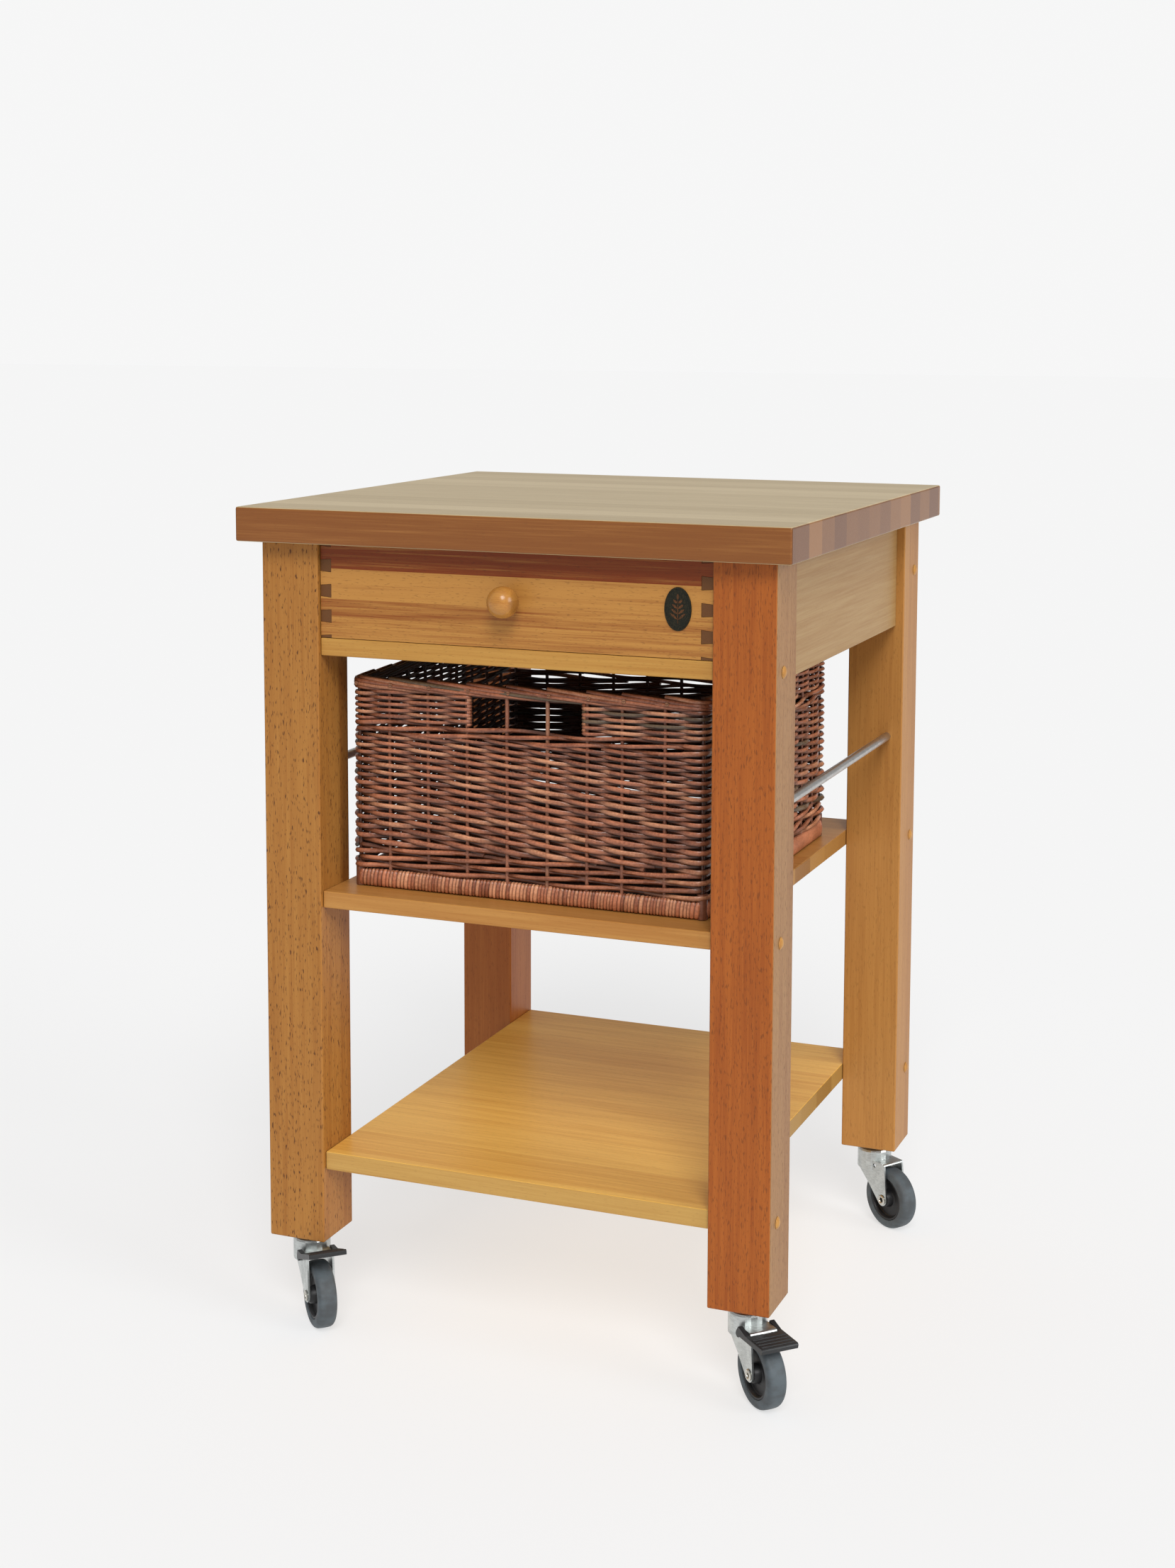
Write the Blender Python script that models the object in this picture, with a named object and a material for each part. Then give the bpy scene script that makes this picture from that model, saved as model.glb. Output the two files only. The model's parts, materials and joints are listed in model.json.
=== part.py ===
"""Beech butcher-block trolley: worktop, four legs, aprons, drawer, two shelves, towel rods,
a pull-out willow basket and four swivel casters, the front two with brake pedals.

The origin is on the floor under the middle of the worktop. The drawer side faces -Y.
All sizes are in metres.
"""
import math

import bmesh
import bpy
from mathutils import Matrix, Vector

# Clearances
GAP = 0.0003              # between pieces that touch
DRAWER_SIDE_GAP = 0.001   # each side of the drawer
DRAWER_LIFT = 0.0006      # drawer front above the rail
DRAWER_HEAD_GAP = 0.0012  # drawer front below the worktop
RUN_GAP = 0.0004          # bearings and pivots

# Worktop
TOP_WIDTH = 0.600
TOP_DEPTH = 0.600
TOP_THICK = 0.036
TOP_HEIGHT = 0.8828
TOP_OVERHANG = 0.020
TOP_EASE = 0.002

# Legs
LEG = 0.065
LEG_EASE = 0.0015

# Aprons, rail and runners
APRON_HEIGHT = 0.122
APRON_THICK = 0.019
APRON_INSET = 0.0094      # behind the legs' outer faces
RAIL_THICK = 0.0186
RAIL_DEPTH = 0.037
FRONT_INSET = 0.005       # rail, drawer and shelves behind the legs' front faces
BOARD_EASE = 0.0012
RUNNER_THICK = 0.0175
RUNNER_LEDGE = 0.014      # how far the ledge reaches under the drawer's side
RUNNER_GUIDE = 0.020      # height of the guide beside the drawer

# Drawer
DRAWER_HEIGHT = 0.0975
DRAWER_LENGTH = 0.494
DRAWER_FRONT_THICK = 0.018
DRAWER_WALL = 0.012
DRAWER_BACK_DROP = 0.010
PANEL_THICK = 0.005
PANEL_HEIGHT = 0.008      # groove above the drawer's lower edge
GROOVE_DEPTH = 0.005
PIN_COUNT = 5             # three whole pins and a part pin at each edge
PIN_PITCH = 0.0263
PIN_WIDE = 0.0135
PIN_NARROW = 0.0113

# Knob and badge
KNOB_RADIUS = 0.0162
KNOB_STANDOFF = 0.019     # ball centre in front of the drawer
KNOB_NECK = 0.0075
KNOB_SCREW = 0.002
KNOB_SCREW_HEAD = 0.0045
BADGE_WIDTH = 0.028
BADGE_TALL = 0.043
BADGE_THICK = 0.0012
BADGE_X = 0.178

# Shelves
MID_SHELF_TOP = 0.4793
MID_SHELF_THICK = 0.018
LOW_SHELF_TOP = 0.1965
LOW_SHELF_THICK = 0.0196

# Towel rods
ROD_RADIUS = 0.0048
ROD_HEIGHT = 0.5948
ROD_INSET = 0.018         # rod's axis behind the legs' outer faces
ROD_SOCKET = 0.014

# Screw covers
COVER_RADIUS = 0.0065
COVER_RISE = 0.0026
COVER_PLUG_RADIUS = 0.0055
COVER_PLUG = 0.006

# Basket
BASKET_SIDE_GAP = 0.0150  # from each leg's inner face
BASKET_FRONT = 0.0325     # behind the shelf's front edge
BASKET_DEPTH = 0.428
BASKET_HEIGHT = 0.2258
BASKET_CORNER = 0.012
BASKET_INNER_CORNER = 0.008
BASKET_WALL = 0.009
BASKET_FLOOR = 0.012
BORDER_HEIGHT = 0.015
BORDER_THICK = 0.014
FOOT_HEIGHT = 0.019
FOOT_INSET = 0.002
HANDLE_WIDTH = 0.133
HANDLE_TALL = 0.030
HANDLE_BELOW_RIM = 0.0146
STAKE_WIDTH = 0.006
STAKE_PLACES = (-0.0205, 0.0245)

# Casters
CASTER_HEIGHT = 0.0973
WHEEL_RADIUS = 0.0356
WHEEL_WIDTH = 0.0208
TYRE_SHOULDER = 0.006
HUB_RADIUS = 0.0252
HUB_WIDTH = 0.0182
HUB_DISH = 0.005
HUB_BOSS_RADIUS = 0.009
TRAIL = 0.0306
FORK_HALF_WIDTH = 0.0150
FORK_PLATE = 0.0022
FORK_BOSS = 0.0074
FORK_WAIST_A = 0.0070     # kink in the fork's slanting back edge
FORK_WAIST_Z = 0.0495
CROWN_RADIUS = 0.0200
CROWN_TOP = 0.0910
CROWN_BOTTOM = 0.0665
CROWN_ROUND = 0.003
DECK_TOP = 0.0790
DECK_FRONT = 0.0340
AXLE_RADIUS = 0.0042
AXLE_BORE = 0.0026
AXLE_HEAD = 0.0060
AXLE_HEAD_THICK = 0.0014
STEM_RADIUS = 0.0052
STEM_LENGTH = 0.040
COLLAR_RADIUS = 0.0150
KING_RADIUS = 0.0048
KING_HEAD = 0.008
KING_HEAD_THICK = 0.0022
CASTERS = {               # side, side, wheel's heading from the swivel axis, pedal's lift
    "front_left": (-1, -1, -46.1, 20.0),
    "front_right": (1, -1, -43.6, 0.0),
    "back_left": (-1, 1, -40.0, None),
    "back_right": (1, 1, -33.7, None),
}

# Brake pedals, with the brake on
PEDAL_PIVOT_A = 0.0167
PEDAL_PIVOT_Z = 0.0735
PEDAL_STUD = 0.0020
PEDAL_HALF_WIDTH = 0.0205
PEDAL_SIDE_GAP = 0.0005
PEDAL_EYE = 0.0037        # round end about the pivot
PEDAL_HUMP = 0.0078       # cheeks' top over the pivot
PEDAL_REACH = 0.0505      # tread's tip in front of the pivot
PEDAL_RISE = 0.0038       # tread's top above the pivot
PEDAL_DROP = 0.0018       # tread's underside below the pivot
PEDAL_BEHIND_DECK = 0.0020

# Worked out from the sizes above
TOP_UNDER = TOP_HEIGHT - TOP_THICK
LEG_X = TOP_WIDTH / 2 - TOP_OVERHANG
LEG_Y = TOP_DEPTH / 2 - TOP_OVERHANG
INNER_X = LEG_X - LEG
INNER_Y = LEG_Y - LEG
AXIS_X = LEG_X - LEG / 2
AXIS_Y = LEG_Y - LEG / 2
FRONT_Y = -LEG_Y + FRONT_INSET
BACK_Y = LEG_Y - FRONT_INSET
DRAWER_TOP = TOP_UNDER - DRAWER_HEAD_GAP
DRAWER_BOTTOM = DRAWER_TOP - DRAWER_HEIGHT
DRAWER_HALF = INNER_X - DRAWER_SIDE_GAP
DRAWER_MID = (DRAWER_TOP + DRAWER_BOTTOM) / 2
DRAWER_REAR = FRONT_Y + DRAWER_LENGTH
RAIL_TOP = DRAWER_BOTTOM - DRAWER_LIFT
APRON_TOP = TOP_UNDER - GAP
APRON_FACE_X = LEG_X - APRON_INSET
APRON_FACE_Y = LEG_Y - APRON_INSET
SCREW_FRONT_Y = FRONT_Y + RAIL_DEPTH / 2
SCREW_BACK_Y = APRON_FACE_Y - APRON_THICK / 2
ROD_X = LEG_X - ROD_INSET
BASKET_HALF = INNER_X - BASKET_SIDE_GAP
BASKET_FRONT_Y = FRONT_Y + BASKET_FRONT
BASKET_BASE = MID_SHELF_TOP + GAP
BASKET_TOP = BASKET_BASE + BASKET_HEIGHT
FORK_INNER = FORK_HALF_WIDTH - FORK_PLATE

for old in list(bpy.data.objects):
    bpy.data.objects.remove(old)


def finish(name, colour, roughness, metallic=0.0):
    """One painted, oiled, moulded or plated finish."""
    material = bpy.data.materials.new(name)
    material.use_nodes = True
    shader = material.node_tree.nodes["Principled BSDF"]
    shader.inputs["Base Color"].default_value = (*colour, 1.0)
    shader.inputs["Roughness"].default_value = roughness
    shader.inputs["Metallic"].default_value = metallic
    return material


BEECH = finish("oiled_beech", (0.55, 0.27, 0.10), 0.45)
PALE_BEECH = finish("pale_beech", (0.64, 0.36, 0.15), 0.45)
STEEL = finish("satin_steel", (0.60, 0.60, 0.60), 0.30, 1.0)
ZINC = finish("zinc_plate", (0.55, 0.56, 0.56), 0.40, 1.0)
RUBBER = finish("grey_rubber", (0.13, 0.15, 0.17), 0.65)
PLASTIC = finish("black_plastic", (0.012, 0.012, 0.012), 0.40)
BADGE_INK = finish("dark_badge", (0.02, 0.03, 0.02), 0.35)
WILLOW = finish("brown_willow", (0.20, 0.07, 0.03), 0.55)
SCREW = finish("bright_screw", (0.62, 0.60, 0.55), 0.35, 1.0)


def add_object(name, bm, material=None, parent=None):
    """Turn a bmesh into an object; without a material it is a hidden cutter."""
    bmesh.ops.recalc_face_normals(bm, faces=bm.faces)
    mesh = bpy.data.meshes.new(name)
    bm.to_mesh(mesh)
    bm.free()
    piece = bpy.data.objects.new(name, mesh)
    bpy.context.scene.collection.objects.link(piece)
    piece.parent = parent
    if material is None:
        piece.hide_render = True
        piece.display_type = "WIRE"
    else:
        mesh.materials.append(material)
    return piece


def smooth(piece, degrees=35):
    piece.data.shade_smooth()
    piece.data.set_sharp_from_angle(angle=math.radians(degrees))


def block(name, low, high, material=None, ease=0.0, parent=None):
    """A board or post between two corners, with its edges eased."""
    low = Vector(low)
    high = Vector(high)
    bm = bmesh.new()
    bmesh.ops.create_cube(bm, size=1.0, matrix=Matrix.Diagonal((*(high - low), 1.0)))
    piece = add_object(name, bm, material, parent)
    piece.location = (low + high) / 2
    if ease:
        bevel = piece.modifiers.new("eased_edges", "BEVEL")
        bevel.width = ease
        bevel.segments = 1
        bevel.limit_method = "ANGLE"
    return piece


def prism(name, outline, thickness, axis, material=None, parent=None):
    """An outline pushed through a thickness, centred, along Y or Z."""
    bm = bmesh.new()
    if axis == "Y":
        corners = [bm.verts.new((x, -thickness / 2, z)) for x, z in outline]
        push = Vector((0, thickness, 0))
    else:
        corners = [bm.verts.new((x, y, -thickness / 2)) for x, y in outline]
        push = Vector((0, 0, thickness))
    face = bm.faces.new(corners)
    grown = bmesh.ops.extrude_face_region(bm, geom=[face])
    moved = [item for item in grown["geom"] if isinstance(item, bmesh.types.BMVert)]
    bmesh.ops.translate(bm, vec=push, verts=moved)
    return add_object(name, bm, material, parent)


def turned(name, profile, material=None, segments=24, ring=False, parent=None):
    """A profile of (radius, height) turned about Z; a ring's profile closes on itself."""
    bm = bmesh.new()
    rows = []
    for radius, height in profile:
        if radius < 1e-7:
            rows.append([bm.verts.new((0, 0, height))])
            continue
        angles = [math.tau * k / segments for k in range(segments)]
        rows.append([bm.verts.new((radius * math.cos(a), radius * math.sin(a), height))
                     for a in angles])
    pairs = list(zip(rows, rows[1:]))
    if ring:
        pairs.append((rows[-1], rows[0]))
    for upper, lower in pairs:
        for k in range(segments):
            nxt = (k + 1) % segments
            corners = [upper[k % len(upper)], upper[nxt % len(upper)],
                       lower[nxt % len(lower)], lower[k % len(lower)]]
            unique = list(dict.fromkeys(corners))
            if len(unique) > 2:
                bm.faces.new(unique)
    piece = add_object(name, bm, material, parent)
    smooth(piece)
    return piece


def rod(name, radius, length, material=None, segments=24, parent=None):
    half = length / 2
    return turned(name, [(0, half), (radius, half), (radius, -half), (0, -half)], material, segments,
                  parent=parent)


def arc(centre, radius, start, end, steps):
    """Points on an arc, with its angles in degrees."""
    points = []
    for k in range(steps + 1):
        angle = math.radians(start + (end - start) * k / steps)
        points.append((centre[0] + radius * math.cos(angle), centre[1] + radius * math.sin(angle)))
    return points


def combine(piece, other, operation="DIFFERENCE"):
    """Cut a hidden shape out of a piece, or fuse it on."""
    change = piece.modifiers.new(operation.lower() + "_" + other.name, "BOOLEAN")
    change.operation = operation
    change.solver = "EXACT"
    change.object = other


# ---------------------------------------------------------------- frame
def make_worktop():
    block("worktop", (-TOP_WIDTH / 2, -TOP_DEPTH / 2, TOP_UNDER),
          (TOP_WIDTH / 2, TOP_DEPTH / 2, TOP_HEIGHT), BEECH, TOP_EASE)


def screw_heights(side_y):
    """Heights of the screws that a leg's outer face covers."""
    upper = RAIL_TOP - RAIL_THICK / 2 if side_y < 0 else APRON_TOP - APRON_HEIGHT / 2
    middle = MID_SHELF_TOP - MID_SHELF_THICK / 2
    lower = LOW_SHELF_TOP - LOW_SHELF_THICK / 2
    return {"upper": upper, "middle": middle, "lower": lower}


def cover_place(side_x, side_y, height):
    return (side_x * LEG_X, SCREW_FRONT_Y if side_y < 0 else SCREW_BACK_Y, height)


def make_leg(name, side_x, side_y):
    """A square post with sockets for the rod, the caster's stem and the screw covers."""
    low_x, high_x = sorted((side_x * INNER_X, side_x * LEG_X))
    low_y, high_y = sorted((side_y * INNER_Y, side_y * LEG_Y))
    leg = block("leg_" + name, (low_x, low_y, CASTER_HEIGHT), (high_x, high_y, TOP_UNDER - GAP),
                BEECH, LEG_EASE)
    stem_hole = rod("stem_hole_" + name, STEM_RADIUS + GAP, 2 * (STEM_LENGTH + GAP), segments=16)
    stem_hole.location = (side_x * AXIS_X, side_y * AXIS_Y, CASTER_HEIGHT)
    combine(leg, stem_hole)
    rod_hole = rod("rod_hole_" + name, ROD_RADIUS + GAP, 2 * (ROD_SOCKET + GAP), segments=16)
    rod_hole.rotation_euler = (math.pi / 2, 0, 0)
    rod_hole.location = (side_x * ROD_X, side_y * INNER_Y, ROD_HEIGHT)
    combine(leg, rod_hole)
    for level, height in screw_heights(side_y).items():
        counterbore = rod("counterbore_%s_%s" % (name, level), COVER_PLUG_RADIUS + GAP,
                          2 * (COVER_PLUG + GAP), segments=12)
        counterbore.rotation_euler = (0, math.pi / 2, 0)
        counterbore.location = cover_place(side_x, side_y, height)
        combine(leg, counterbore)


def make_screw_covers(name, side_x, side_y):
    """Domed wooden buttons over the screws that hold the rail, apron and shelves."""
    sphere = (COVER_RADIUS ** 2 + COVER_RISE ** 2) / (2 * COVER_RISE)
    spread = math.degrees(math.asin(COVER_RADIUS / sphere))
    dome = arc((0, GAP + COVER_RISE - sphere), sphere, 90, 90 - spread, 2)
    profile = [(0, dome[0][1])] + dome[1:]
    profile += [(COVER_PLUG_RADIUS, GAP), (COVER_PLUG_RADIUS, -COVER_PLUG), (0, -COVER_PLUG)]
    for level, height in screw_heights(side_y).items():
        cover = turned("screw_cover_%s_%s" % (name, level), profile, BEECH, 12)
        cover.rotation_euler = (0, side_x * math.pi / 2, 0)
        cover.location = cover_place(side_x, side_y, height)


def make_aprons():
    for name, side in (("left", -1), ("right", 1)):
        low_x, high_x = sorted((side * APRON_FACE_X, side * (APRON_FACE_X - APRON_THICK)))
        block("side_apron_" + name, (low_x, -INNER_Y + GAP, APRON_TOP - APRON_HEIGHT),
              (high_x, INNER_Y - GAP, APRON_TOP), BEECH, BOARD_EASE)
    block("back_apron", (-INNER_X + GAP, APRON_FACE_Y - APRON_THICK, APRON_TOP - APRON_HEIGHT),
          (INNER_X - GAP, APRON_FACE_Y, APRON_TOP), BEECH, BOARD_EASE)
    block("drawer_rail", (-INNER_X + GAP, FRONT_Y, RAIL_TOP - RAIL_THICK),
          (INNER_X - GAP, FRONT_Y + RAIL_DEPTH, RAIL_TOP), PALE_BEECH, BOARD_EASE)


def make_runner(name, side):
    """An L-shaped strip on the apron: a ledge under the drawer's side and a guide beside it."""
    outer = APRON_FACE_X - APRON_THICK - GAP
    guide = INNER_X + GAP
    ledge = DRAWER_HALF - RUNNER_LEDGE
    top = DRAWER_BOTTOM - GAP
    section = [(outer, top - RUNNER_THICK), (outer, top + RUNNER_GUIDE), (guide, top + RUNNER_GUIDE),
               (guide, top), (ledge, top), (ledge, top - RUNNER_THICK)]
    prism("runner_" + name, [(side * x, z) for x, z in section], 2 * (INNER_Y - GAP), "Y", PALE_BEECH)


def make_shelf(name, top, thickness):
    block(name, (-INNER_X + GAP, FRONT_Y, top - thickness), (INNER_X - GAP, BACK_Y, top), BEECH, BOARD_EASE)


def make_towel_rod(name, side):
    bar = rod("towel_rod_" + name, ROD_RADIUS, 2 * (INNER_Y + ROD_SOCKET), STEEL, 16)
    bar.rotation_euler = (math.pi / 2, 0, 0)
    bar.location = (side * ROD_X, 0, ROD_HEIGHT)


# ---------------------------------------------------------------- drawer
def wedge(side, middle, grow):
    """Outline of one dovetail pin: wide at the inner line, narrow at the drawer's outer face."""
    inner = DRAWER_HALF - DRAWER_WALL - grow
    outer = DRAWER_HALF + 0.001
    wide = PIN_WIDE / 2 + grow
    narrow = PIN_NARROW / 2 + grow
    return [(side * inner, middle - wide), (side * outer, middle - narrow),
            (side * outer, middle + narrow), (side * inner, middle + wide)]


def tail(side, low_pin, high_pin, grow):
    """Outline of the dovetail between two pins, grown by a clearance."""
    inner = DRAWER_HALF - DRAWER_WALL - 0.001
    outer = DRAWER_HALF + 0.001
    wide = PIN_WIDE / 2 - grow
    narrow = PIN_NARROW / 2 - grow
    return [(side * inner, low_pin + wide), (side * outer, low_pin + narrow),
            (side * outer, high_pin - narrow), (side * inner, high_pin - wide)]


def pin_places():
    middle = (PIN_COUNT - 1) / 2
    return [DRAWER_MID + (k - middle) * PIN_PITCH for k in range(PIN_COUNT)]


def make_drawer_front(parent):
    front = block("drawer_front", (-DRAWER_HALF, FRONT_Y, DRAWER_BOTTOM),
                  (DRAWER_HALF, FRONT_Y + DRAWER_FRONT_THICK, DRAWER_TOP), BEECH, parent=parent)
    for side_name, side in (("left", -1), ("right", 1)):
        for index, middle in enumerate(pin_places()):
            socket = prism("pin_socket_%s_%d" % (side_name, index), wedge(side, middle, GAP),
                           2 * DRAWER_FRONT_THICK, "Y")
            socket.location = (0, FRONT_Y + DRAWER_FRONT_THICK / 2, 0)
            combine(front, socket)
    groove_low = DRAWER_BOTTOM + PANEL_HEIGHT - GAP
    groove_half = DRAWER_HALF - DRAWER_WALL - GAP
    inner_face = FRONT_Y + DRAWER_FRONT_THICK
    groove = block("front_groove", (-groove_half, inner_face - GROOVE_DEPTH - GAP, groove_low),
                   (groove_half, inner_face + 0.001, groove_low + PANEL_THICK + 2 * GAP))
    combine(front, groove)
    knob_hole = rod("knob_screw_hole", KNOB_SCREW + GAP, 0.1, segments=12)
    knob_hole.rotation_euler = (math.pi / 2, 0, 0)
    knob_hole.location = (0, FRONT_Y, DRAWER_MID)
    combine(front, knob_hole)


def make_drawer_side(name, side, parent):
    """A side board whose pins run through the front, with a groove for the bottom."""
    inner_x = side * (DRAWER_HALF - DRAWER_WALL)
    low_x, high_x = sorted((inner_x, side * DRAWER_HALF))
    board = block("drawer_side_" + name, (low_x, FRONT_Y + GAP, DRAWER_BOTTOM),
                  (high_x, DRAWER_REAR, DRAWER_TOP), PALE_BEECH, parent=parent)
    pins = pin_places()
    depth = DRAWER_FRONT_THICK + GAP
    for index, (low_pin, high_pin) in enumerate(zip(pins, pins[1:])):
        space = prism("tail_space_%s_%d" % (name, index), tail(side, low_pin, high_pin, 0), 2 * depth, "Y")
        space.location = (0, FRONT_Y, 0)
        combine(board, space)
    groove_low = DRAWER_BOTTOM + PANEL_HEIGHT - GAP
    cut_x = sorted((inner_x - side * 0.001, inner_x + side * (GROOVE_DEPTH + GAP)))
    groove = block("side_groove_" + name, (cut_x[0], FRONT_Y + depth + 0.001, groove_low),
                   (cut_x[1], DRAWER_REAR + 0.001, groove_low + PANEL_THICK + 2 * GAP))
    combine(board, groove)


def make_drawer_box(parent):
    inner = DRAWER_HALF - DRAWER_WALL
    panel_low = DRAWER_BOTTOM + PANEL_HEIGHT
    rear_face = DRAWER_REAR - 0.008
    block("drawer_back", (-inner + GAP, rear_face - DRAWER_WALL, panel_low + PANEL_THICK + GAP),
          (inner - GAP, rear_face, DRAWER_TOP - DRAWER_BACK_DROP), PALE_BEECH, parent=parent)
    block("drawer_bottom", (-inner - GROOVE_DEPTH, FRONT_Y + DRAWER_FRONT_THICK + 0.002, panel_low),
          (inner + GROOVE_DEPTH, rear_face, panel_low + PANEL_THICK), PALE_BEECH, parent=parent)


def make_knob(parent):
    """A turned ball on a short neck, held by a screw from inside the drawer."""
    neck_angle = math.degrees(math.asin(KNOB_NECK / KNOB_RADIUS))
    ball = arc((0, KNOB_STANDOFF), KNOB_RADIUS, 90, -90 + neck_angle, 8)
    profile = [(0, KNOB_STANDOFF + KNOB_RADIUS)] + ball[1:] + [(KNOB_NECK, GAP)]
    bore_depth = KNOB_STANDOFF - 0.004
    profile += [(KNOB_SCREW + GAP, GAP), (KNOB_SCREW + GAP, bore_depth), (0, bore_depth)]
    knob = turned("drawer_knob", profile, BEECH, 20, parent=parent)
    knob.rotation_euler = (math.pi / 2, 0, 0)
    knob.location = (0, FRONT_Y, DRAWER_MID)
    head = -DRAWER_FRONT_THICK - GAP
    shank_end = bore_depth - 0.002
    screw_profile = [(0, shank_end), (KNOB_SCREW, shank_end), (KNOB_SCREW, head), (KNOB_SCREW_HEAD, head),
                     (KNOB_SCREW_HEAD * 0.8, head - 0.0018), (0, head - 0.0024)]
    screw = turned("knob_screw", screw_profile, SCREW, 14, parent=parent)
    screw.rotation_euler = (math.pi / 2, 0, 0)
    screw.location = (0, FRONT_Y, DRAWER_MID)


def make_badge(parent):
    outline = [(BADGE_WIDTH / 2 * math.cos(math.tau * k / 32), BADGE_TALL / 2 * math.sin(math.tau * k / 32))
               for k in range(32)]
    badge = prism("badge", outline, BADGE_THICK, "Y", BADGE_INK, parent)
    badge.location = (BADGE_X, FRONT_Y - GAP - BADGE_THICK / 2, DRAWER_MID)


def make_drawer():
    slide = bpy.data.objects.new("drawer_slide_axis", None)
    bpy.context.scene.collection.objects.link(slide)
    make_drawer_front(slide)
    make_drawer_side("left", -1, slide)
    make_drawer_side("right", 1, slide)
    make_drawer_box(slide)
    make_knob(slide)
    make_badge(slide)


# ---------------------------------------------------------------- basket
def rounded_rectangle(half_x, half_y, radius):
    points = []
    for side_x, side_y, start in ((1, 1, 0), (-1, 1, 90), (-1, -1, 180), (1, -1, 270)):
        centre = (side_x * (half_x - radius), side_y * (half_y - radius))
        points += arc(centre, radius, start, start + 90, 3)
    return points


def make_basket():
    """The hamper's outer shape: foot band, wall, thicker border, and a handle hole with two stakes."""
    middle_y = BASKET_FRONT_Y + BASKET_DEPTH / 2
    half_y = BASKET_DEPTH / 2
    inset = BORDER_THICK - BASKET_WALL
    foot = rounded_rectangle(BASKET_HALF - FOOT_INSET, half_y - FOOT_INSET, BASKET_CORNER - FOOT_INSET)
    basket = prism("basket", foot, BASKET_HEIGHT, "Z", WILLOW)
    basket.location = (0, middle_y, BASKET_BASE + BASKET_HEIGHT / 2)
    wall_height = BASKET_HEIGHT - FOOT_HEIGHT
    wall = prism("basket_wall_form", rounded_rectangle(BASKET_HALF, half_y, BASKET_CORNER),
                 wall_height, "Z")
    wall.location = (0, middle_y, BASKET_TOP - wall_height / 2)
    combine(basket, wall, "UNION")
    cavity_half = BASKET_HALF - BASKET_WALL
    cavity_height = BASKET_HEIGHT - BASKET_FLOOR - BORDER_HEIGHT
    cavity = prism("basket_cavity", rounded_rectangle(cavity_half, half_y - BASKET_WALL,
                                                      BASKET_INNER_CORNER), cavity_height, "Z")
    cavity.location = (0, middle_y, BASKET_BASE + BASKET_FLOOR + cavity_height / 2)
    combine(basket, cavity)
    mouth = prism("basket_mouth", rounded_rectangle(cavity_half - inset, half_y - BORDER_THICK,
                                                    BASKET_INNER_CORNER), 4 * BORDER_HEIGHT, "Z")
    mouth.location = (0, middle_y, BASKET_TOP)
    combine(basket, mouth)
    edges = [-HANDLE_WIDTH / 2]
    for place in STAKE_PLACES:
        edges += [place - STAKE_WIDTH / 2, place + STAKE_WIDTH / 2]
    edges.append(HANDLE_WIDTH / 2)
    top = BASKET_TOP - HANDLE_BELOW_RIM
    for index in range(0, len(edges), 2):
        window = block("handle_window_%d" % (index // 2),
                       (edges[index], BASKET_FRONT_Y - 0.01, top - HANDLE_TALL),
                       (edges[index + 1], BASKET_FRONT_Y + BORDER_THICK + 0.01, top))
        combine(basket, window)


# ---------------------------------------------------------------- casters
def make_stem(name, side_x, side_y):
    """The fixed half of a caster: stem in the leg, collar under it and king pin below."""
    collar_top = CASTER_HEIGHT - GAP
    collar_bottom = CROWN_TOP + RUN_GAP
    plate_under = CROWN_TOP - FORK_PLATE - RUN_GAP
    top = CASTER_HEIGHT + STEM_LENGTH
    profile = [(0, top), (STEM_RADIUS - 0.001, top), (STEM_RADIUS, top - 0.001), (STEM_RADIUS, collar_top),
               (COLLAR_RADIUS * 0.75, collar_top), (COLLAR_RADIUS, (collar_top + collar_bottom) / 2),
               (COLLAR_RADIUS, collar_bottom), (KING_RADIUS, collar_bottom), (KING_RADIUS, plate_under),
               (KING_HEAD, plate_under), (KING_HEAD * 0.8, plate_under - KING_HEAD_THICK),
               (0, plate_under - KING_HEAD_THICK)]
    stem = turned("caster_stem_" + name, profile, ZINC, 12)
    stem.location = (side_x * AXIS_X, side_y * AXIS_Y, 0)


def fork_outline():
    """Side view of the cheeks: deck over the wheel, straight front, round boss, slanting back."""
    boss = arc((TRAIL, WHEEL_RADIUS), FORK_BOSS, 5, -140, 7)
    corner = arc((DECK_FRONT - 0.002, DECK_TOP - 0.002), 0.002, 90, 0, 2)
    back = -CROWN_RADIUS * 0.6
    return [(back, DECK_TOP)] + corner + boss + [(FORK_WAIST_A, FORK_WAIST_Z), (back, CROWN_BOTTOM)]


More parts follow.
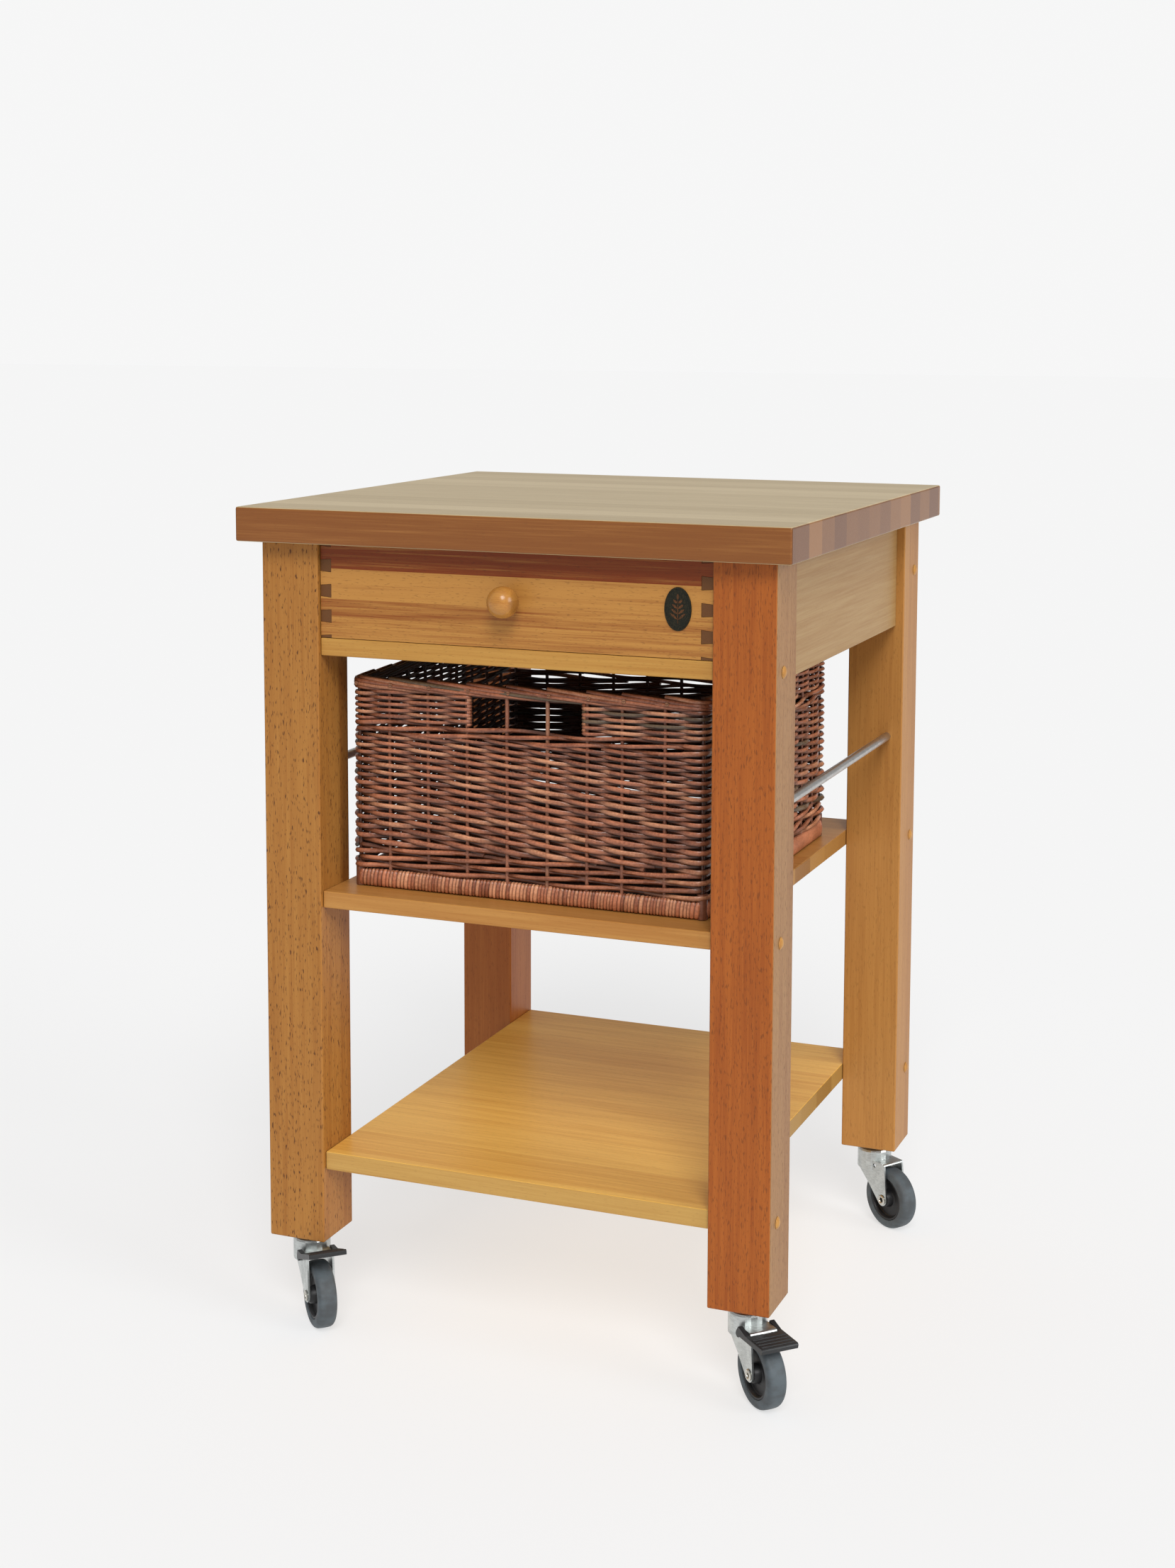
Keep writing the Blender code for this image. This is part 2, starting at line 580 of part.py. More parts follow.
def make_fork(name, swivel):
    """A pressed steel fork: round crown on the king pin, cheeks down each side of the wheel."""
    fork = prism("fork_" + name, fork_outline(), 2 * FORK_HALF_WIDTH, "Y", ZINC, swivel)
    shoulder = (CROWN_RADIUS - CROWN_ROUND, CROWN_TOP - CROWN_ROUND)
    crown_profile = [(0, CROWN_TOP)] + arc(shoulder, CROWN_ROUND, 90, 0, 2)
    crown_profile += [(CROWN_RADIUS, CROWN_BOTTOM), (0, CROWN_BOTTOM)]
    crown = turned("crown_form_" + name, crown_profile, segments=20, parent=swivel)
    combine(fork, crown, "UNION")
    channel = block("fork_channel_" + name, (-0.05, -FORK_INNER, -0.01),
                    (0.07, FORK_INNER, DECK_TOP - FORK_PLATE), parent=swivel)
    combine(fork, channel)
    room = block("crown_room_" + name, (-CROWN_RADIUS, -FORK_INNER, CROWN_BOTTOM),
                 (CROWN_RADIUS, FORK_INNER, CROWN_TOP - FORK_PLATE), parent=swivel)
    hollow = rod("crown_hollow_" + name, CROWN_RADIUS - FORK_PLATE, 0.1, segments=20, parent=swivel)
    hollow.location = (0, 0, CROWN_TOP - FORK_PLATE - 0.05)
    combine(room, hollow, "INTERSECT")
    combine(fork, room)
    king_hole = rod("king_hole_" + name, KING_RADIUS + RUN_GAP, 0.05, segments=12, parent=swivel)
    king_hole.location = (0, 0, CROWN_TOP)
    combine(fork, king_hole)
    holes = {"axle": (AXLE_RADIUS + GAP, (TRAIL, 0, WHEEL_RADIUS)),
             "pivot": (PEDAL_STUD + RUN_GAP, (PEDAL_PIVOT_A, 0, PEDAL_PIVOT_Z))}
    for hole_name, (radius, place) in holes.items():
        hole = rod("%s_hole_%s" % (hole_name, name), radius, 0.1, segments=12, parent=swivel)
        hole.rotation_euler = (math.pi / 2, 0, 0)
        hole.location = place
        combine(fork, hole)


def make_axle(name, swivel):
    """A tubular rivet through both cheeks, flared at its ends."""
    seat = FORK_HALF_WIDTH + GAP
    end = seat + AXLE_HEAD_THICK
    half = [(AXLE_BORE, end), (AXLE_HEAD - 0.0008, end), (AXLE_HEAD, end - 0.0008), (AXLE_HEAD, seat),
            (AXLE_RADIUS, seat)]
    profile = half + [(radius, -height) for radius, height in reversed(half)]
    axle = turned("axle_" + name, profile, ZINC, 12, ring=True, parent=swivel)
    axle.rotation_euler = (math.pi / 2, 0, 0)
    axle.location = (TRAIL, 0, WHEEL_RADIUS)


def make_wheel(name, swivel):
    """A dished plastic hub in a rubber tyre, both turning on the axle."""
    bore = AXLE_RADIUS + RUN_GAP
    boss = FORK_INNER - RUN_GAP
    rim = HUB_WIDTH / 2
    dish = rim - HUB_DISH
    half = [(bore, boss), (HUB_BOSS_RADIUS, boss), (HUB_BOSS_RADIUS + 0.001, dish),
            (HUB_RADIUS - 0.0035, dish), (HUB_RADIUS - 0.0025, rim), (HUB_RADIUS, rim)]
    profile = half + [(radius, -height) for radius, height in reversed(half)]
    hub = turned("wheel_hub_" + name, profile, PLASTIC, 20, ring=True, parent=swivel)
    width = WHEEL_WIDTH / 2
    shoulder = arc((WHEEL_RADIUS - TYRE_SHOULDER, width - TYRE_SHOULDER), TYRE_SHOULDER, 90, 0, 2)
    half = [(HUB_RADIUS + GAP, rim), (HUB_RADIUS + GAP + 0.001, width)] + shoulder
    profile = half + [(radius, -height) for radius, height in reversed(half)]
    tyre = turned("tyre_" + name, profile, RUBBER, 28, ring=True, parent=swivel)
    for piece in (hub, tyre):
        piece.rotation_euler = (math.pi / 2, 0, 0)
        piece.location = (TRAIL, 0, WHEEL_RADIUS)


def pedal_outline():
    """Side view of the pedal about its pivot, brake on: flat tread, cheeks humped over the pivot."""
    tip = arc((PEDAL_REACH - 0.002, PEDAL_RISE - 0.002), 0.002, 90, 0, 2)
    lower = [(PEDAL_REACH - 0.001, -PEDAL_DROP)]
    start = math.degrees(math.asin(-PEDAL_DROP / PEDAL_EYE))
    return tip + lower + arc((0, 0), PEDAL_EYE, start, -220, 7) + [(0.001, PEDAL_HUMP), (0.016, PEDAL_RISE)]


def make_pedal(name, swivel, lift):
    """A moulded pedal that straddles the fork and turns on two studs in its cheeks."""
    pivot = bpy.data.objects.new("pedal_pivot_" + name, None)
    bpy.context.scene.collection.objects.link(pivot)
    pivot.parent = swivel
    pivot.location = (PEDAL_PIVOT_A, 0, PEDAL_PIVOT_Z)
    pivot.rotation_euler = (0, -math.radians(lift), 0)
    pedal = prism("brake_pedal_" + name, pedal_outline(), 2 * PEDAL_HALF_WIDTH, "Y", PLASTIC, pivot)
    room_half = FORK_HALF_WIDTH + PEDAL_SIDE_GAP
    front = DECK_FRONT - PEDAL_PIVOT_A + PEDAL_BEHIND_DECK
    room = block("pedal_room_" + name, (-0.05, -room_half, -0.05), (front, room_half, 0.05), parent=pivot)
    combine(pedal, room)
    for side in (-1, 1):
        stud = rod("pedal_stud_%s_%d" % (name, side), PEDAL_STUD, FORK_PLATE + 0.002, segments=12,
                   parent=pivot)
        stud.rotation_euler = (math.pi / 2, 0, 0)
        stud.location = (0, side * (room_half + 0.001 - FORK_PLATE / 2), 0)
        combine(pedal, stud, "UNION")


def make_caster(name, side_x, side_y, heading, pedal_lift):
    make_stem(name, side_x, side_y)
    swivel = bpy.data.objects.new("swivel_" + name, None)
    bpy.context.scene.collection.objects.link(swivel)
    swivel.location = (side_x * AXIS_X, side_y * AXIS_Y, 0)
    swivel.rotation_euler = (0, 0, math.radians(heading))
    make_fork(name, swivel)
    make_axle(name, swivel)
    make_wheel(name, swivel)
    if pedal_lift is not None:
        make_pedal(name, swivel, pedal_lift)


make_worktop()
make_aprons()
for rail_name, rail_side in (("left", -1), ("right", 1)):
    make_runner(rail_name, rail_side)
    make_towel_rod(rail_name, rail_side)
make_shelf("middle_shelf", MID_SHELF_TOP, MID_SHELF_THICK)
make_shelf("lower_shelf", LOW_SHELF_TOP, LOW_SHELF_THICK)
make_drawer()
make_basket()
for corner_name, (corner_x, corner_y, corner_heading, corner_pedal) in CASTERS.items():
    make_leg(corner_name, corner_x, corner_y)
    make_screw_covers(corner_name, corner_x, corner_y)
    make_caster(corner_name, corner_x, corner_y, corner_heading, corner_pedal)
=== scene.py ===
"""Looks of the beech butcher-block trolley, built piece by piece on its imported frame."""
import json
import math

import bmesh
import bpy
import numpy as np
from mathutils import Matrix, Vector, noise


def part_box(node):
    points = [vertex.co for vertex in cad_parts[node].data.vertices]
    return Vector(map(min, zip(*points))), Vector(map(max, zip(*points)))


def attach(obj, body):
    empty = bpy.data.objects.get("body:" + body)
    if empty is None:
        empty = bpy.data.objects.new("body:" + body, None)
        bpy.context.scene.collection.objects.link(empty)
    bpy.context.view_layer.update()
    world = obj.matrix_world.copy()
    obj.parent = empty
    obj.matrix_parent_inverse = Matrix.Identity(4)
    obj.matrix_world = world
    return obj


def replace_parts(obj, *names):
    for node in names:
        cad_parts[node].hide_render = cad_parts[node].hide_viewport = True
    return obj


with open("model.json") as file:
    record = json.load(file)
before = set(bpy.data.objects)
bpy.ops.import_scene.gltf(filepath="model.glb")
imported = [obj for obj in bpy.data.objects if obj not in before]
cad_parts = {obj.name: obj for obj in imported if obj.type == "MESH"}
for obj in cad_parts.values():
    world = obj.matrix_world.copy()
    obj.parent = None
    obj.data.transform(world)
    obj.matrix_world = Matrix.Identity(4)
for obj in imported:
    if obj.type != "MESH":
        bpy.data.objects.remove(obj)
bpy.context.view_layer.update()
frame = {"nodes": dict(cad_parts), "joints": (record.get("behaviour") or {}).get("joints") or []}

# ---- worktop
# A 36 mm block of beech staves glued side by side along X, sanded, oiled and eased on every edge.
# The stave ends show as bands on the left and right sides. Four screws hold it from the aprons.


class Wire:
    """One shader socket that takes part in Python sums; each sum adds its Math node."""

    def __init__(self, finish, socket):
        self.finish = finish
        self.socket = socket

    def math(self, operation, *values):
        return self.finish.add("Math", dict(enumerate(values)), operation=operation)

    def __abs__(self):
        return self.math("ABSOLUTE", self)

    def floor(self):
        return self.math("FLOOR", self)

    def above(self, low, high):
        """0 below low, 1 above high, and a smooth step between."""
        return self.finish.add("MapRange", {"Value": self, "From Min": low, "From Max": high}, "Result",
                               interpolation_type="SMOOTHSTEP")


for sign, sum_kind in (("add", "ADD"), ("sub", "SUBTRACT"), ("mul", "MULTIPLY"), ("truediv", "DIVIDE")):
    setattr(Wire, f"__{sign}__", lambda self, other, kind=sum_kind: self.math(kind, self, other))
    setattr(Wire, f"__r{sign}__", lambda self, other, kind=sum_kind: self.math(kind, other, self))


class Finish:
    """One material: fixed values go on the shader's sockets, and what varies is wired to them."""

    def __init__(self, name, roughness=0.5, metallic=0.0, colour=(0.5, 0.5, 0.5), **fixed):
        self.material = bpy.data.materials.new(name)
        self.material.use_nodes = True
        self.tree = self.material.node_tree
        self.shader = self.tree.nodes["Principled BSDF"]
        self.shader.inputs["Base Color"].default_value = (*colour, 1)
        self.shader.inputs["Roughness"].default_value = roughness
        self.shader.inputs["Metallic"].default_value = metallic
        for socket, value in fixed.items():
            self.shader.inputs[socket.replace("_", " ").title().replace("Ior", "IOR")].default_value = value

    def add(self, kind, sockets, output=0, **settings):
        """Adds a node: its settings first, then the values or wires of its sockets."""
        node = self.tree.nodes.new("ShaderNode" + kind)
        for name, value in settings.items():
            if name == "stops":
                while len(node.color_ramp.elements) < len(value):
                    node.color_ramp.elements.new(0.5)
                for element, (position, colour) in zip(node.color_ramp.elements, value):
                    element.position = position
                    element.color = (*colour, 1)
            elif name == "interpolation":
                node.color_ramp.interpolation = value
            else:
                setattr(node, name, value)
        for name, value in sockets.items():
            if isinstance(value, Wire):
                self.tree.links.new(value.socket, node.inputs[name])
            else:
                node.inputs[name].default_value = value
        return Wire(self, node.outputs[output])

    def drive(self, socket, wire):
        self.tree.links.new(wire.socket, self.shader.inputs[socket])

    def place(self):
        """The point's x, y and z in the trolley's own metres."""
        point = self.add("TexCoord", {}, "Object")
        return [self.add("SeparateXYZ", {0: point}, axis) for axis in "XYZ"]

    def cloud(self, x, y, z, scale, detail, rough=0.5):
        """Soft noise from 0 to 1 about 0.5."""
        point = self.add("CombineXYZ", {"X": x, "Y": y, "Z": z})
        return self.add("TexNoise", {"Vector": point, "Scale": scale, "Detail": detail, "Roughness": rough},
                        "Fac")

    def chance(self, wire):
        """A random value from 0 to 1 for each whole number."""
        return self.add("TexWhiteNoise", {"W": wire}, "Value", noise_dimensions="1D")

    def blend(self, amount, first, second):
        """Mixes two colours."""
        colours = [value if isinstance(value, Wire) else (*value, 1) for value in (first, second)]
        return self.add("Mix", {0: amount, 6: colours[0], 7: colours[1]}, 2, data_type="RGBA")

    def bump(self, height, strength, depth):
        self.drive("Normal", self.add("Bump", {"Height": height, "Strength": strength, "Distance": depth}))


FLECK_BROWN = (0.07, 0.022, 0.008)
FLECK_EDGE = 0.12         # how softly a fleck begins
END_COVER = 0.85          # share of the end grain's own colour on the ends


def beech(name, light, dark, grain, glued, stave, start=0.0, seed=0.0, uneven=0.5, figure=0.5, flecks=0.3,
          fleck_gap=0.6, roughness=0.4, ends=0.75, strips=(), gloss=0.25, face_tint_and_sheen=None):
    """Oiled beech: glued staves, soft figure, fine grain lines, short dark flecks and darker end grain."""
    finish = Finish(name, roughness, specular_ior_level=gloss)
    axes = dict(zip("XYZ", finish.place()))
    along, across = axes[grain], axes[glued]
    through = axes[next(axis for axis in "XYZ" if axis not in (grain, glued))]
    normal = finish.add("NewGeometry", {}, "Normal")

    def streaks(lengthways, sideways, deep, detail, rough=0.5, slide=0.0, side_slide=0.0):
        """Noise with so many waves to the metre along the grain, across the staves and into the board."""
        return finish.cloud(along * lengthways + slide, across * sideways + side_slide, through * deep,
                            1.0, detail, rough)

    def facing(axis, clear):
        """1 on the faces that look along an axis, and 0 on the rest."""
        return abs(finish.add("SeparateXYZ", {0: normal}, axis)).above(0.6, clear)

    board = ((across - start) / stave).floor() + seed
    tone = finish.chance(board)
    if strips:
        stops = [(place, (red, red, red)) for place, red in strips]
        tone = finish.add("ValToRGB", {0: (across - start) / stave}, stops=stops, interpolation="CONSTANT")
        board = tone * 17.0
    slip = finish.chance(board + 31.7) * 9.0       # no two staves show the same stretch of figure
    broad = streaks(2.4, 26, 26, 3, 0.55, slip, slip)
    rings = streaks(1.3, 90, 55, 2, 0.5, slip, slip * 3)
    lines = streaks(14, 700, 700, 2)
    fibres = streaks(5, 210, 210, 2, 0.5, slip)
    rays = streaks(150, 760, 760, 1, 0.5, slip)
    pores = streaks(30, 1500, 1500, 2)
    depth = (tone - 0.5) * uneven + (broad - 0.5) * 1.6 * figure + (rings - 0.5) * 0.9 * figure
    depth = depth + (lines - 0.5) * 0.9 + (fibres - 0.5) * 0.9 + 0.5
    shade = depth.above(0.0, 1.0)
    colour = finish.blend(shade, light, dark)
    # A second colour on the faces that look along one axis: painted sheen on the worktop's top, painted light
    # and sheen on the lower shelf's top, and on the front right leg's side partly the boards' own tint,
    # partly painted sheen.
    if face_tint_and_sheen:
        axis, other_light, other_dark = face_tint_and_sheen
        colour = finish.blend(facing(axis, 0.8), colour, finish.blend(shade, other_light, other_dark))
    fleck = rays.above(fleck_gap, fleck_gap + FLECK_EDGE) * flecks
    colour = finish.blend(fleck, colour, FLECK_BROWN)
    end_colour = finish.blend((pores * 0.5 + tone * 0.5).above(0.2, 0.8),
                              [value * ends for value in light], [value * ends * 0.75 for value in dark])
    finish.drive("Base Color", finish.blend(facing(grain, 0.9) * END_COVER, colour, end_colour))
    finish.drive("Roughness", roughness - 0.05 + lines * 0.1 + fleck * 0.15)
    finish.bump(lines * 0.6 + fleck * -0.8 + broad * 0.3, 0.25, 0.0003)
    return finish.material


def paint(piece, material):
    """Gives a whole piece one material."""
    piece.data.materials.clear()
    piece.data.materials.append(material)
    return piece


def finished_mesh(name, bm, sharp=None):
    """A mesh with flat faces, or smooth except where they meet at more than so many degrees."""
    mesh = bpy.data.meshes.new(name)
    bm.to_mesh(mesh)
    bm.free()
    if sharp is not None:
        mesh.shade_smooth()
        mesh.set_sharp_from_angle(angle=math.radians(sharp))
    return mesh


def placed(name, data):
    """A new object in the scene."""
    piece = bpy.data.objects.new(name, data)
    bpy.context.scene.collection.objects.link(piece)
    return piece


def new_piece(name, mesh, material, body, cad_nodes):
    """Names a finished mesh, sets it on its body and lets it stand for its CAD nodes."""
    piece = paint(placed(name, mesh), material)
    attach(piece, body)
    if cad_nodes:
        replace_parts(piece, *cad_nodes)
    return piece


def measured(node):
    """Middle and half size of a CAD node's box."""
    low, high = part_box(node)
    return (low + high) / 2, (high - low) / 2


def eased_board(node, name, material, ease):
    """A plain board of the frame where its CAD node is, with rounded-over edges."""
    middle, half = measured(node)
    bm = bmesh.new()
    bmesh.ops.create_cube(bm, size=2.0, matrix=Matrix.Translation(middle) @ Matrix.Diagonal((*half, 1.0)))
    bmesh.ops.bevel(bm, geom=bm.edges[:], offset=ease, segments=3, profile=0.5, affect="EDGES")
    piece = new_piece(name, finished_mesh(name, bm, 180), material, "frame", [node])
    piece.modifiers.new("flat_faces", "WEIGHTED_NORMAL").keep_sharp = True


TOP_STAVE = 0.0445
TOP_EASE = 0.0022
# The top face gets a paler, greyer colour than the edges: painted sheen, for the glint a low view catches off
# the oiled top.
top_beech = beech("worktop_beech", (0.35, 0.145, 0.034), (0.21, 0.068, 0.012), "X", "Y", TOP_STAVE,
                  start=-0.3 + 0.012, seed=3.0, uneven=0.75, figure=0.45, flecks=0.12, roughness=0.34,
                  gloss=0.36, ends=0.74, face_tint_and_sheen=("Z", (0.6, 0.47, 0.27), (0.475, 0.36, 0.19)))
eased_board("worktop", "beech_worktop", top_beech, TOP_EASE)

# ---- legs
# Square 65 mm beech posts, each glued from boards that lie side to side, with eased corners.
# Their feet are drilled for the casters and their outer faces for the screws.
LEG_EASE = 0.0016
LEG_LAYER = 0.0225
LEG_LOOKS = {
    "front_left": dict(light=(0.405, 0.18, 0.038), dark=(0.3, 0.112, 0.02), flecks=0.85,
                       figure=0.25, seed=11.0),
    "front_right": dict(light=(0.385, 0.105, 0.015), dark=(0.26, 0.058, 0.008), flecks=0.42,
                        figure=0.35, seed=23.0, fleck_gap=0.57,
                        # Its right side is paler and yellower, partly the boards' own figure there and partly
                        # painted sheen.
                        face_tint_and_sheen=("X", (0.35, 0.178, 0.06), (0.27, 0.118, 0.034))),
    # The back-left leg is darker and redder, partly its own tone and partly painted shade, as it stands in
    # shadow behind the others.
    "back_left": dict(light=(0.41, 0.14, 0.026), dark=(0.32, 0.095, 0.016), flecks=0.25,
                      figure=0.45, seed=37.0),
    "back_right": dict(light=(0.44, 0.205, 0.05), dark=(0.345, 0.145, 0.033), flecks=0.2,
                       figure=0.35, seed=41.0),
}
for corner, looks in LEG_LOOKS.items():
    post_beech = beech("leg_beech_" + corner, grain="Z", glued="Y", stave=LEG_LAYER,
                       start=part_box("leg_" + corner)[0].y - 0.001, uneven=0.45, roughness=0.42, **looks)
    eased_board("leg_" + corner, "beech_leg_" + corner, post_beech, LEG_EASE)

# ---- aprons, rail, runners and shelves
# Beech boards between the legs: three aprons set back from the legs' faces, a pale rail under the
# drawer, two hidden runners, and two shelves of staves glued side by side along X.
BOARD_EASE = 0.0013
apron_beech = beech("apron_beech", (0.39, 0.245, 0.1), (0.32, 0.175, 0.06), "Y", "Z", 0.061,
                    start=0.7245, seed=5.0, uneven=0.3, figure=0.4, flecks=0.08, roughness=0.45)
back_beech = beech("back_apron_beech", (0.4, 0.21, 0.07), (0.32, 0.14, 0.04), "X", "Z", 0.061,
                   start=0.7245, seed=8.0, uneven=0.3, figure=0.4, flecks=0.1, roughness=0.45)
rail_beech = beech("rail_beech", (0.505, 0.27, 0.062), (0.41, 0.19, 0.038), "X", "Y", 0.08,
                   start=-0.32, seed=2.0, uneven=0.1, figure=0.3, flecks=0.22, roughness=0.42)
shelf_beech = beech("shelf_beech", (0.49, 0.24, 0.062), (0.385, 0.16, 0.035), "X", "Y", 0.058,
                    start=-0.28, seed=14.0, uneven=0.45, figure=0.45, flecks=0.12, roughness=0.38)
# The lower shelf's top face is much paler than its edges: painted light, lifting it out of the shade under
# the middle shelf, and painted sheen.
lower_beech = beech("lower_shelf_beech", (0.52, 0.305, 0.084), (0.415, 0.208, 0.048), "X", "Y", 0.062,
                    start=-0.265, seed=19.0, uneven=0.4, figure=0.5, flecks=0.12, roughness=0.36,
                    face_tint_and_sheen=("Z", (0.83, 0.49, 0.11), (0.67, 0.34, 0.062)))
for node, material, slot in (
        ("side_apron_left", apron_beech, "oiled_beech"), ("side_apron_right", apron_beech, "oiled_beech"),
        ("back_apron", back_beech, "oiled_beech"), ("drawer_rail", rail_beech, "pale_beech"),
        ("middle_shelf", shelf_beech, "oiled_beech"), ("lower_shelf", lower_beech, "oiled_beech")):
    eased_board(node, "beech_" + node, material, BOARD_EASE)
for side in ("left", "right"):
    paint(frame["nodes"]["runner_" + side], rail_beech)

# ---- towel rods
# Satin steel rods, 9.6 mm thick, let into the front and back legs on each side.


def turned_piece(name, profile, material, body, middle, axis, cad_nodes, segments, sharp=40):
    """Turns a profile of (radius, height) about an axis; a closed profile makes a ring."""
    steps = np.arange(segments) * math.tau / segments
    closed = profile[0] == profile[-1]
    corners = profile[:-1] if closed else profile
    turn = Vector(axis).to_track_quat("Z", "Y").to_matrix().to_4x4()
    bm = bmesh.new()
    rings = [[bm.verts.new(point) for point in np.stack([radius * np.cos(steps), radius * np.sin(steps),
                                                         np.full(segments, height)], 1)]
             for radius, height in corners]
    pairs = list(zip(rings, rings[1:]))
    if closed:
        pairs.append((rings[-1], rings[0]))
    for first, second in pairs:
        for k in range(segments):
            following = (k + 1) % segments
            bm.faces.new((first[k], first[following], second[following], second[k]))
    bmesh.ops.remove_doubles(bm, verts=bm.verts, dist=1e-6)
    bmesh.ops.recalc_face_normals(bm, faces=bm.faces)
    bm.transform(Matrix.Translation(middle) @ turn)
    new_piece(name, finished_mesh(name, bm, sharp), material, body, cad_nodes)


def satin_metal(name, colour, roughness, scratches, stretch):
    """Bare or plated steel with fine drawn lines and slight cloudiness."""
    finish = Finish(name, roughness, 1.0, colour)
    x, y, z = finish.place()
    lines = finish.cloud(x * stretch[0], y * stretch[1], z * stretch[2], 1.0, 2)
    clouds = finish.cloud(x, y, z, 90, 3)
    dull = [value * 0.72 for value in colour]
    finish.drive("Base Color", finish.blend((clouds * 0.5 + lines * 0.5).above(0.35, 0.7), colour, dull))
    finish.drive("Roughness", roughness - 0.08 + clouds * 0.16 + lines * scratches)
    finish.bump(lines, 0.15, 0.0001)
    return finish.material


ROD_CHAMFER = 0.0006
rod_steel = satin_metal("satin_steel", (0.58, 0.57, 0.55), 0.28, 0.12, (1600, 30, 1600))
for side in ("left", "right"):
    middle, (radius, half, _) = measured("towel_rod_" + side)
    profile = [(0, half), (radius - ROD_CHAMFER, half), (radius, half - ROD_CHAMFER), (radius, -0.4 * half),
               (radius, -half + ROD_CHAMFER), (radius - ROD_CHAMFER, -half), (0, -half)]
    turned_piece("towel_rod_" + side, profile, rod_steel, "frame", middle, (0, 1, 0), ["towel_rod_" + side],
                 32)

# ---- screw covers
# Small domed beech buttons pressed into the holes over the screws, three on each leg's outer face.
COVER_RISE = 0.0026
COVER_SHOULDER = 0.0009
COVER_SHANK = 0.0055
DOME_STEPS = 6
cover_beech = beech("cover_beech", (0.5, 0.25, 0.06), (0.38, 0.16, 0.035), "Z", "Y", 0.4, seed=6.0,
                    uneven=0.0, figure=0.5, flecks=0.3, roughness=0.36)
for node in sorted(name for name in frame["nodes"] if name.startswith("screw_cover_")):
    middle, (reach, radius, _) = measured(node)
    side = 1 if middle.x > 0 else -1
    sphere = (radius ** 2 + COVER_RISE ** 2) / (2 * COVER_RISE)
    spread = math.asin(radius / sphere)
    middle.x += side * (reach - COVER_RISE)
    turns = [spread * k / DOME_STEPS for k in range(DOME_STEPS + 1)]
    profile = [(sphere * math.sin(turn), COVER_RISE - sphere + sphere * math.cos(turn)) for turn in turns]
    profile += [(radius - COVER_SHOULDER, 0.0), (radius - COVER_SHOULDER, -COVER_SHANK), (0, -COVER_SHANK)]
    turned_piece("wooden_" + node, profile, cover_beech, "frame", middle, (side, 0, 0), [node],
                 28)

# ---- drawer
# A dovetailed box. Its front is glued from four beech strips, pale and red-brown, and the dark end
# grain of the sides' pins shows at both ends. The top strip is darkest, partly as darker wood and
# partly as painted shadow from the worktop's overhang. It rides on the hidden runners.
front_low, front_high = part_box("drawer_front")
# The top strip's dark colour is partly darker wood and partly painted shadow of the worktop's overhang.
FRONT_STRIPS_AND_SHADOW = ((0.0, 0.24), (0.225, 0.42), (0.415, 0.0), (0.735, 0.95))   # share of height, how red
front_beech = beech("drawer_front_beech", (0.455, 0.212, 0.048), (0.19, 0.034, 0.004), "X", "Z",
                    front_high.z - front_low.z, start=front_low.z, seed=4.0, uneven=0.9, figure=0.35,
                    flecks=0.35, roughness=0.36, strips=FRONT_STRIPS_AND_SHADOW)
pin_beech = beech("drawer_side_beech", (0.3, 0.12, 0.035), (0.22, 0.085, 0.025), "Y", "Z", 0.2, start=0.7,
                  seed=9.0, uneven=0.0, figure=0.3, flecks=0.15, roughness=0.45, ends=0.45)
inner_beech = beech("drawer_inner_beech", (0.46, 0.25, 0.09), (0.36, 0.17, 0.055), "X", "Y", 0.5,
                    start=-0.3, seed=9.0, uneven=0.0, figure=0.3, flecks=0.15, roughness=0.5)
for node, material in (("drawer_front", front_beech), ("drawer_side_left", pin_beech),
                       ("drawer_side_right", pin_beech), ("drawer_back", inner_beech),
                       ("drawer_bottom", inner_beech)):
    paint(frame["nodes"][node], material)

# ---- knob and badge
# The knob is a turned beech ball on a short neck, lacquered, with a screw from inside. The badge is a
# thin dark oval with a raised rim and a plain leaf in the middle.
knob_root, (knob_radius, knob_half, _) = measured("drawer_knob")
knob_root.y += knob_half
KNOB_NECK = 0.0075
KNOB_STEPS = 22
ball_height = 2 * knob_half - knob_radius
neck_turn = math.pi - math.asin(KNOB_NECK / knob_radius)
turns = [neck_turn * k / KNOB_STEPS for k in range(KNOB_STEPS + 1)]
knob_profile = [(knob_radius * math.sin(turn), ball_height + knob_radius * math.cos(turn)) for turn in turns]
knob_profile += [(KNOB_NECK * 0.96, 0.0012), (KNOB_NECK * 1.05, 0.0), (0, 0.0)]
knob_beech = beech("knob_beech", (0.5, 0.235, 0.05), (0.38, 0.15, 0.028), "X", "Z", 0.4, seed=12.0,
                   uneven=0.0, figure=0.5, flecks=0.2, roughness=0.24, gloss=0.4)
turned_piece("beech_knob", knob_profile, knob_beech, "drawer", knob_root, (0, -1, 0), ["drawer_knob"],
             48)
paint(frame["nodes"]["knob_screw"],
      satin_metal("bright_screw_steel", (0.62, 0.6, 0.55), 0.35, 0.1, (300, 300, 300)))


def worn(finish, fineness, detail, low, high, fresh, bare, smooth, scuffed=0.2):
    """Shows the bare colour through the fresh one in patches, and roughens it there."""
    wear = finish.cloud(*finish.place(), fineness, detail)
    finish.drive("Base Color", finish.blend(wear.above(low, high), fresh, bare))
    finish.drive("Roughness", smooth + wear * scuffed)
    return finish.material


